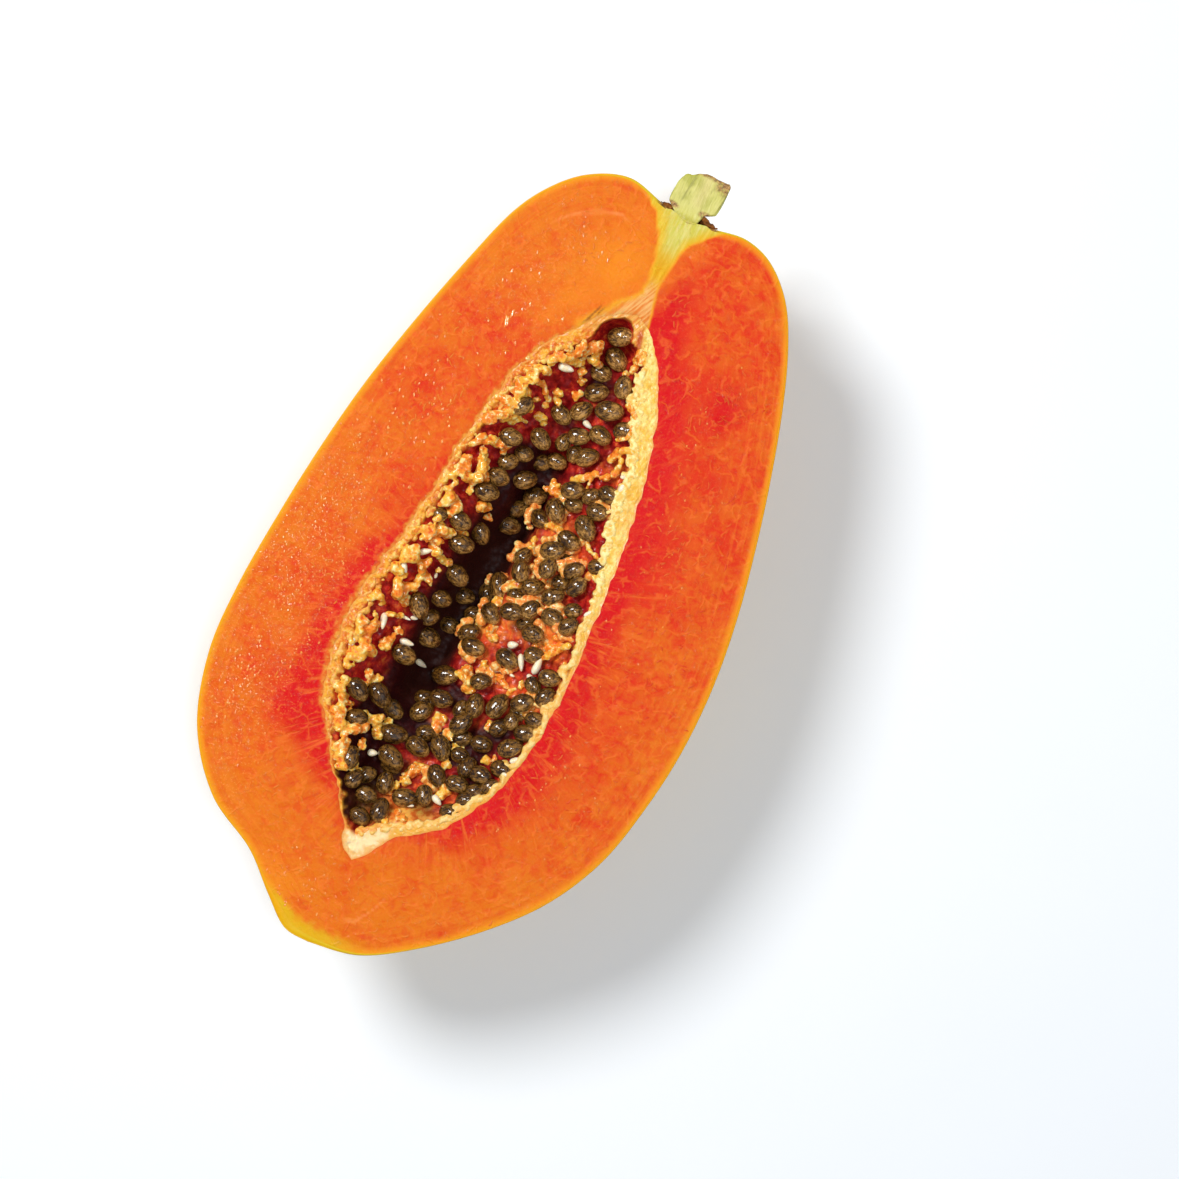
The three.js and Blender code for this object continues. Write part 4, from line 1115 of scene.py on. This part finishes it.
def lay_eggs(name, eggs):
    """One mesh of many eggs, each given as its own rings, its middle and its turning. It keeps each point's
    place on its egg, and a number of its own for each egg."""
    points, faces, own, numbers, upward, far_side = [], [], [], [], [], []
    for rings, middle, turning in eggs:
        flat = rings.reshape(-1, 3)
        net = np.roll(quads_of(*rings.shape[:2], True)[:, ::-1], 1, 1)
        faces.append(net + sum(len(p) for p in points))
        own.append(flat)
        points.append(flat @ np.array(turning).T + np.array(middle))
        offset = points[-1] - np.array(middle)
        upward.append(offset[:, 2] / np.abs(offset[:, 2]).max())
        # painted glow: each seed is painted brighter on its side away from the key light, at a heading that
        # varies a little from seed to seed
        leaning = math.radians(-37 + dice.gauss(0, 18))
        toward = offset[:, 0] * math.cos(leaning) + offset[:, 1] * math.sin(leaning)
        # painted shade at the blossom end and painted light towards the stalk end
        y = middle[1] / MM
        lit = LIGHT_TOWARDS_STALK * smooth(12, 30, y) - SHADE_AT_BLOSSOM_END * smooth(-34, -46, y)
        far_side.append(toward / np.abs(toward).max() + lit)
        numbers.append(np.full(len(flat), dice.random()))
    mesh = smooth_mesh(name, np.concatenate(points), np.concatenate(faces))
    own = (np.concatenate(own) / MM).ravel().astype(np.float32)
    mesh.attributes.new("own_place", "FLOAT_VECTOR", "POINT").data.foreach_set("vector", own)
    for kind, values in (("own_number", numbers), ("upward", upward), ("far_side", far_side)):
        paint(mesh, kind, np.concatenate(values))
    return mesh


def unripe_mesh():
    eggs = []
    for x, y, heading, long, thick in UNRIPE_SEEDS:
        turning = turned(heading) @ Matrix.Rotation(dice.uniform(-0.3, 0.3), 3, "Y")
        middle = over_wall(x, y, thick * 0.5 + 0.9, thick * 0.5 + 0.35)
        eggs.append((egg(long * MM, thick * MM), middle, turning))
    return lay_eggs("unripe_seeds", eggs)


def unripe_finish():
    f = Finish("unripe_seed")
    place = f.place()
    colour = f.shade(f.grain(place, 1.1, 3.0, 0.6), 0.35, 0.7, (244, 220, 176), (255, 246, 224))
    return f.surface(
        colour, 0.4, (0.25, (1.0, 0.7, 0.4), 1.0),
        Normal=f.bump(f.grain(place, 2.0, 2.0), 0.15, 0.6),
        Coat_Weight=0.3,
        Coat_Roughness=0.12,
    )


place_piece("unripe_seeds", unripe_mesh(), unripe_finish())

# ---- Ripe seeds ----
# Dark olive-brown seeds with a paler net of ridges, each in a thin clear sac of jelly that makes it shine.
# They lie in heaps on the lining, on both sides of the dark hollow.

SEED_LONG, SEED_THICK = 6.3, 5.1
SEED_APART = 4.6
DEEP_LEVEL, TOP_LEVEL = -1.2, 0.9
CUP_SHARE = 1.2
CUP_STEP = 0.42
# x, y, heading in degrees, size; the deeper seeds come first in each heap
DEEP_SEEDS = [
    (-0.4, 52.4, 0, 1.0), (0.6, 47.4, 30, 1.05), (-5.0, 38.5, -20, 1.0), (-1.6, 32.6, 80, 0.8),
    (2.3, 31.0, 90, 0.8), (-9.3, 25.4, 10, 0.85), (-4.4, 25.6, 20, 0.9), (-1.0, 27.4, 0, 0.9),
    (-12.0, 21.9, 30, 0.9), (11.0, 23.0, 40, 0.9), (-5.0, 12.4, 30, 1.0), (1.6, 12.4, -20, 1.0),
    (13.4, 0.0, 0, 0.8), (-2.9, -10.8, -70, 0.95), (-7.8, -13.9, 10, 0.95), (-13.2, -22.4, 40, 0.9),
    (4.4, -40.2, 90, 0.85), (13.0, -45.5, 10, 0.95), (-11.3, -47.6, -20, 1.0), (-10.0, -65.0, 40, 0.9),
    (-8.0, -22.4, 0, 0.9), (4.5, -7.9, 0, 0.8), (9.6, -13.0, 60, 0.85), (-21.4, 2.4, 20, 0.7),
    (8.0, -46.5, 30, 0.9), (-1.0, -49.5, 20, 0.9), (15.2, -39.8, 60, 0.9), (9.4, -50.6, 0, 0.85),
    (18.2, -34.2, 0, 0.85), (-5.4, -60.8, 0, 0.9), (16.8, -56.6, 30, 0.8), (12.0, 5.6, 0, 0.8),
    (7.8, 19.2, 0, 0.85), (19.4, -5.0, 20, 0.8),
]
TOP_SEEDS = [
    (0.2, 62.3, 25, 1.14), (1.6, 57.0, -30, 1.12), (6.3, 51.0, 105, 1.0), (5.7, 44.2, 20, 1.2),
    (-0.8, 41.5, 50, 1.0), (11.2, 41.3, 40, 0.95), (6.3, 37.8, -10, 1.0), (-14.5, 36.0, 60, 0.95),
    (1.4, 35.4, 20, 0.98), (-7.0, 30.6, -30, 1.02), (5.6, 31.4, 40, 1.05), (-13.8, 27.6, 10, 1.0),
    (14.8, 25.1, 0, 0.95), (6.0, 22.3, 25, 1.0), (14.0, 19.9, 10, 0.95), (-6.2, 19.7, 30, 1.05),
    (-12.4, 17.3, 0, 1.0), (-2.2, 17.1, 40, 1.1), (4.2, 15.9, -50, 1.08), (13.1, 15.0, -40, 1.15),
    (-13.4, 12.7, 10, 1.08), (10.7, 10.4, -10, 1.05), (-5.1, 7.5, 5, 1.05), (8.0, 6.4, 25, 1.12),
    (20.0, 7.6, 30, 0.85), (-16.2, 3.1, -10, 1.02), (-10.6, 2.4, -40, 1.05), (8.8, 2.0, 90, 0.95),
    (15.1, 4.1, 50, 0.95), (17.4, 0.8, 60, 0.98), (1.8, 1.8, 70, 0.9), (2.8, -1.7, 110, 1.0),
    (-13.5, -2.1, 10, 1.12), (7.5, -4.1, 30, 1.0), (13.1, -4.0, 40, 0.98), (-0.6, -7.6, -50, 1.2),
    (9.2, -9.7, 60, 1.02), (15.3, -8.9, 0, 1.0), (19.9, -9.1, 60, 0.92), (5.3, -12.0, 20, 1.02),
    (-11.2, -9.8, -20, 1.15), (0.6, -14.9, -30, 1.05), (12.6, -14.7, 8, 1.02), (-12.4, -16.9, 0, 0.95),
    (-3.7, -17.1, 30, 0.8), (15.2, -19.4, 20, 0.88), (-16.5, -20.7, -50, 1.15), (-2.5, -21.7, 40, 0.98),
    (0.2, -24.4, 0, 1.05), (9.4, -23.3, -15, 1.05), (21.3, -22.8, 10, 0.95), (18.3, -26.4, -30, 0.8),
    (22.4, -27.5, 60, 0.95), (-11.3, -27.4, -8, 1.18), (5.8, -31.4, 30, 0.92), (17.7, -31.4, 40, 1.0),
    (12.4, -35.0, 75, 1.15), (22.7, -34.0, 10, 0.92), (-3.2, -34.2, 20, 1.2), (-14.6, -33.7, -8, 1.15),
    (7.2, -37.6, 100, 1.05), (17.3, -36.8, 90, 0.75), (21.9, -38.0, 20, 1.0), (-1.4, -39.9, 10, 1.05),
    (-5.6, -41.8, 30, 0.85), (-4.6, -44.9, 60, 1.12), (6.0, -43.1, 60, 1.08), (20.0, -43.0, 35, 1.1),
    (-20.9, -46.2, -30, 1.08), (-15.6, -45.4, -30, 1.2), (20.4, -48.6, 10, 1.0), (4.0, -51.0, -50, 1.12),
    (-1.4, -53.4, -10, 1.1), (-8.2, -53.0, 15, 1.2), (-18.2, -52.8, 20, 0.95), (12.3, -52.2, 80, 0.98),
    (16.0, -52.2, 10, 0.95), (19.6, -53.9, 40, 0.85), (11.8, -57.0, 10, 0.95), (6.3, -57.6, -40, 1.02),
    (-6.2, -58.5, -20, 1.22), (16.1, -59.4, 35, 1.05), (-15.3, -62.4, 100, 1.0), (13.8, -64.1, 15, 1.08),
    (-4.8, -64.8, 100, 0.95), (-12.1, -66.8, 60, 0.9), (1.4, -65.8, 20, 1.05), (5.6, -63.2, -60, 0.92),
    (-7.6, -69.3, 0, 0.92), (-2.8, -71.1, 95, 1.05), (-6.6, -74.7, -10, 0.95),
]


def seed_mesh():
    """The heaps, built from below: a seed that comes down on others is lifted until it rests on them."""
    placed, eggs = [], []
    up = Vector((0, 0, 1))
    for level, seeds in ((DEEP_LEVEL, DEEP_SEEDS), (TOP_LEVEL, TOP_SEEDS)):
        for x, y, heading, size in seeds:
            floor_z, normal = wall_under(x, y)
            long, thick = SEED_LONG * size, SEED_THICK * (0.4 + 0.6 * size)
            z = floor_z / MM + thick * 0.42 + level
            for other_x, other_y, other_z in placed:
                apart = math.hypot(x - other_x, y - other_y)
                if apart < SEED_APART:
                    z = max(z, other_z + math.sqrt(SEED_APART**2 - apart**2) * 0.9)
            z = min(z, CUT_Z / MM - thick * 0.5 - 0.5)
            placed.append((x, y, z))
            turning = up.rotation_difference(normal.lerp(up, 0.55)).to_matrix()
            turning = turning @ turned(heading) @ Matrix.Rotation(dice.uniform(0, 6.28), 3, "X")
            rings = egg(long * MM, thick * MM, 18, 26, 0.16)
            rings[..., 1:] *= 1 + 0.02 * np.sin(rings[..., 0:1] / MM * 2 + dice.uniform(0, 6))
            eggs.append((rings, (x * MM, y * MM, z * MM), turning))
    return lay_eggs("ripe_seeds", eggs), placed


def cups_mesh(placed):
    """Soft pulp squeezed up between the seeds, most of it in the heap right of the hollow."""
    balls = []
    for x, y, z in placed:
        if dice.random() > CUP_SHARE * min(spots(x, y, PULP_GLOW) * 1.4, 1):
            continue
        start = dice.uniform(0, 6.28)
        for step in range(dice.randint(4, 9)):
            angle = start + step * CUP_STEP
            out = 2.6 + dice.uniform(-0.3, 1.0)
            down = 1.2 - dice.uniform(-0.8, 0.6)
            middle = Vector((x + out * math.cos(angle), y + out * math.sin(angle), z - down))
            balls.append((middle * MM, dice.uniform(0.7, 1.5) * MM, 1, 0))
    return tear(fused("seed_cups", balls, PULP_VOXEL))


def seed_finish():
    f = Finish("ripe_seed")
    own = f.node("Attribute", "Vector", {"attribute_name": "own_place"})
    own = f.vector("ADD", own, f.join(f.times("own_number", 40.0), "own_number", "own_number"))
    ridge = f.grain(f.vector("MULTIPLY", own, (0.45, 1.0, 1.0)), 1.3, 3.0, 0.65, 1.2)
    blotch = f.grain(own, 0.6, 3.0, 0.6)
    # painted glow and shade: the clear sac is painted brighter on the side away from the key light and darker
    # on the side towards it, by mixing a shaded and a lit set of its tones
    glow = f.plus("far_side", f.span(blotch, 0.3, 0.7, -0.5, 0.5))
    dark = f.shade(ridge, 0.42, 0.6, (48, 26, 8), f.blend("own_number", (112, 74, 24), (146, 102, 42)))
    lit = f.shade(ridge, 0.4, 0.6, (118, 78, 30), (216, 160, 84))
    colour = f.shade(glow, -0.2, 1.0, dark, lit)
    # painted shade: each seed is darkened towards its underside and sides, where it sits among its neighbours
    colour = f.tint(colour, f.span("upward", -0.4, 0.45, 0.9, 0.0), (30, 17, 6))
    return f.surface(
        colour, 0.4,
        Specular_IOR_Level=0.03,
        Normal=f.bump(f.plus(ridge, blotch), 0.7, 0.8),
        Coat_Weight=1.0,
        Coat_Roughness=0.04,
        Coat_Normal=f.bump(f.grain(own, 1.3, 2.0, 0.6), 0.14, 0.6),
        Coat_IOR=1.6,
    )


SEED_NODES = [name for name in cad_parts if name.startswith("seeds_")]
seeds, seed_places = seed_mesh()
place_piece("ripe_seeds", seeds, seed_finish(), SEED_NODES)
cups = cups_mesh(seed_places)
paint(cups, "peach", np.full(len(cups.vertices), 0.7))
place_piece("seed_cups", cups, pulp_look)

# ---- Stalk ----
# The short green stalk, split lengthwise with the fruit: its cut face is pale, its bark is olive, and its
# broken end and the scar round its root are brown and ragged.

# y, left edge and right edge in millimetres, from the root to the broken end
STALK_EDGES = [
    (92.0, 0.5, 5.0), (94.6, -0.4, 5.0), (96.0, -1.1, 5.2), (97.2, -2.6, 5.6), (98.2, -3.7, 6.0),
    (98.9, -3.85, 7.4), (99.6, -3.9, 8.5), (100.6, -3.85, 8.7), (103.0, -3.7, 8.9), (105.0, -3.5, 9.0),
    (106.4, -3.1, 9.05), (107.2, -2.7, 9.0),
]
STALK_STATIONS, STALK_SIDES = 70, 72
STALK_TIP = 108.3
# the broken end, ring by ring: size and how far it stands past the last full ring, in millimetres
END_RINGS = [(0.97, 0.5), (0.9, 0.8), (0.75, 0.75), (0.5, 0.45), (0.25, 0.3), (0.02, 0.25)]
# lumps of corky scar on both sides of the root: x, y and radius in millimetres
SCAR_LUMPS = [
    (-5.3, 96.9, 0.4), (-4.5, 96.9, 0.5), (-3.5, 96.8, 0.65), (-2.4, 96.9, 0.75), (-1.5, 97.2, 0.7),
    (4.7, 98.6, 0.6), (5.2, 97.7, 0.9), (6.2, 97.3, 0.95), (7.2, 97.1, 0.9), (8.2, 96.8, 0.75),
    (9.2, 96.7, 0.6), (10.2, 96.8, 0.4),
]
SCAR_VOXEL = 0.25 * MM


def stalk_mesh():
    ys = np.linspace(STALK_EDGES[0][0], STALK_EDGES[-1][0], STALK_STATIONS)
    turns = full_turn(STALK_SIDES)
    up = np.sin(turns)
    rings = []
    for y, low, high in zip(ys, *profile(ys, STALK_EDGES)):
        half, middle = (high - low) / 2, (high + low) / 2
        ridge = 1 + 0.025 * np.sin(turns * 9 + 0.4 * y) + 0.012 * np.sin(turns * 23)
        x = middle + half * np.cos(turns) * ridge
        z = np.where(up < 0, half * up * ridge, 0.25 * np.minimum(up * 3, 1))
        sunk = 1.2 * smooth(97.0, 94.0, y)
        slant = 1.9 * smooth(0.45, 0.0, (x - low) / (high - low)) * smooth(99, 107, y)
        rings.append(np.stack([x, y - slant, z - 0.55 - sunk], -1))
    last = rings[-1]
    middle = last.mean(0) + [0, 0, 0.5]
    for step, (size, push) in enumerate(END_RINGS):
        ring = middle + (last - middle) * size
        torn = 0.5 * noise_map(ring[:, 0], ring[:, 2] + 7 * step, 1.2) * (1 - size * 0.4)
        ring[:, 1] = np.minimum(last[:, 1] + push + torn, STALK_TIP)
        rings.append(ring)
    points = np.stack(rings) * MM
    points[..., 2] += CUT_Z
    mesh = sheet_mesh("stalk_stub", points, closed=True)
    x, y = points[..., 0] / MM, points[..., 1] / MM
    paint(mesh, "cut_face", smooth(-0.1, 0.25, up) * np.ones_like(x))
    broken = smooth(106.9, 107.5, y + 0.4 * noise_map(x, y, 1.0))
    broken = broken + smooth(3.2, 1.0, np.hypot(x - 7.6, y - 107.0))
    paint(mesh, "broken_end", np.clip(broken, 0, 1))
    scar = smooth(1.3, 0.5, np.hypot((x + 2.6) / 2.0, (y - 97.6) / 0.8))
    scar = scar + smooth(1.3, 0.5, np.hypot((x - 6.2) / 2.0, (y - 98.3) / 0.9))
    paint(mesh, "scar", np.clip(scar, 0, 1))
    paint(mesh, "root", smooth(99, 96, y + 0.8 * noise_map(x, y * 0.3, 1.0)))
    # painted shade: a dark slanting line down the left part of the stalk's cut face
    groove = smooth(0.45, 0.1, np.abs(x + 0.9 - 0.12 * (y - 99) + 0.25 * noise_map(x, y, 1.5)))
    paint(mesh, "groove", groove * smooth(98.5, 100, y))
    paint(mesh, "heartwood", bell(x, 3.3, 1.5) * smooth(97.5, 101, y))
    return mesh


def stalk_finish():
    f = Finish("green_stalk")
    place = f.place()
    fibre = f.grain(f.vector("MULTIPLY", place, (1.0, 0.14, 1.0)), 1.6, 4.0, 0.6)
    cut = f.shade(f.grain(place, 0.25, 2.0), 0.4, 0.6, (180, 178, 68), (206, 200, 104))
    cut = f.tint(cut, f.span(fibre, 0.5, 0.75), (222, 214, 136), 0.6)
    cut = f.tint(cut, f.span(fibre, 0.46, 0.3), (150, 146, 50), 0.6)
    # painted shade line
    cut = f.tint(cut, "groove", (128, 122, 40), 0.6)
    cut = f.tint(cut, "heartwood", (226, 206, 136), 0.5)
    cut = f.tint(cut, "root", f.shade(fibre, 0.35, 0.7, (204, 196, 78), (220, 212, 128)), 0.95)
    colour = f.blend("cut_face", f.shade(fibre, 0.35, 0.7, (150, 160, 52), (186, 190, 82)), cut)
    rust = f.shade(f.grain(place, 1.6, 3.0, 0.7), 0.35, 0.65, (104, 66, 22), (196, 150, 82))
    torn = f.plus("scar", "broken_end", True)
    colour = f.tint(colour, f.times(torn, f.span(f.grain(place, 0.9, 3.0, 0.6), 0.3, 0.5)), rust)
    height = f.plus(fibre, f.times(torn, f.grain(place, 2.0, 3.0)))
    return f.surface(colour, 0.5, (0.1, (0.8, 1.0, 0.3), 1.5), Normal=f.bump(height, 0.4, 0.6))


def scar_mesh():
    balls = [(Vector((x, y, CUT_Z / MM - 0.5 - r)) * MM, r * MM, 1, 0) for x, y, r in SCAR_LUMPS]
    for turn in np.linspace(0.02, math.pi - 0.02, 26):
        x, y = 2.6 + 6.0 * math.cos(turn), 96.6 + dice.uniform(-0.3, 0.3)
        middle = Vector((x, y, CUT_Z / MM - 1.6 - 5.0 * math.sin(turn)))
        balls.append((middle * MM, dice.uniform(0.8, 1.1) * MM, 1, 0))
    return tear(fused("stalk_scar", balls, SCAR_VOXEL))


def scar_finish():
    f = Finish("corky_scar")
    colour = f.shade("raised", -0.5, 0.2, (62, 32, 12), (132, 78, 30))
    colour = f.tint(colour, f.span("raised", 0.25, 0.7), (196, 146, 74), 0.7)
    normal = f.bump(f.grain(f.place(), 2.4, 3.0, 0.6), 0.3, 0.7)
    return f.surface(colour, 0.7, Specular_IOR_Level=0.1, Normal=normal)


place_piece("stalk_stub", stalk_mesh(), stalk_finish(), ["stalk"])
place_piece("stalk_scar", scar_mesh(), scar_finish())

# ---- Floor, light and camera ----
# A plain pale floor, one large soft light from the stalk side on the left, weak light all round, and a camera
# straight above the cut face.

FLOOR_EDGE = 3.0
AIM = (0, 0, 0.03)
# place, width in metres, power in watts and colour
LIGHTS = {
    "key": ((-0.66, 0.24, 1.05), 0.42, 11.4, (1.0, 0.985, 0.965)),
    "overhead": ((0.12, 0.05, 1.3), 0.2, 4.3, (0.94, 0.985, 1.05)),
    "fill": ((0.9, -0.3, 1.1), 1.2, 2.0, (0.98, 0.98, 0.98)),
}
CAMERA_OVER = Vector((20.6 * MM, 1.6 * MM, CUT_Z))
CAMERA_HEIGHT, CAMERA_LENS, CAMERA_SENSOR = 0.696, 85.0, 36.0
FRUIT_LEAN = (0.4333, 0.9012)


def floor_mesh():
    mesh = bpy.data.meshes.new("floor")
    corners = [(-1, -1, 0), (1, -1, 0), (1, 1, 0), (-1, 1, 0)]
    mesh.from_pydata([Vector(corner) * FLOOR_EDGE for corner in corners], [], [(0, 1, 2, 3)])
    return mesh


def floor_finish():
    f = Finish("pale_floor")
    return f.surface(f.blend(f.grain(f.place(), 0.02, 2.0), (244, 249, 255), (246, 251, 255)), 0.7)


def place_object(name, data, where=(0, 0, 0)):
    thing = bpy.data.objects.new(name, data)
    bpy.context.scene.collection.objects.link(thing)
    thing.location = where
    return thing


floor = place_object("floor", floor_mesh())
floor.data.materials.append(floor_finish())

for name, (where, width, power, colour) in LIGHTS.items():
    lamp = bpy.data.lights.new(name, "AREA")
    lamp.shape, lamp.size, lamp.energy, lamp.color = "DISK", width, power, colour
    holder = place_object(name, lamp, where)
    holder.rotation_euler = (Vector(AIM) - Vector(where)).to_track_quat("-Z", "Y").to_euler()

world = bpy.data.worlds.new("studio")
bpy.context.scene.world = world
world.use_nodes = True
world.node_tree.nodes["Background"].inputs["Color"].default_value = (0.98, 0.985, 0.985, 1)
world.node_tree.nodes["Background"].inputs["Strength"].default_value = 0.25
bpy.context.scene.view_settings.view_transform = "Standard"

camera_data = bpy.data.cameras.new("camera")
camera_data.lens, camera_data.sensor_width = CAMERA_LENS, CAMERA_SENSOR
camera_data.clip_start, camera_data.clip_end = 0.01, 50.0
camera = place_object("camera", camera_data, CAMERA_OVER + Vector((0, 0, CAMERA_HEIGHT)))
camera.rotation_euler = (0, 0, math.atan2(*FRUIT_LEAN))
bpy.context.scene.camera = camera
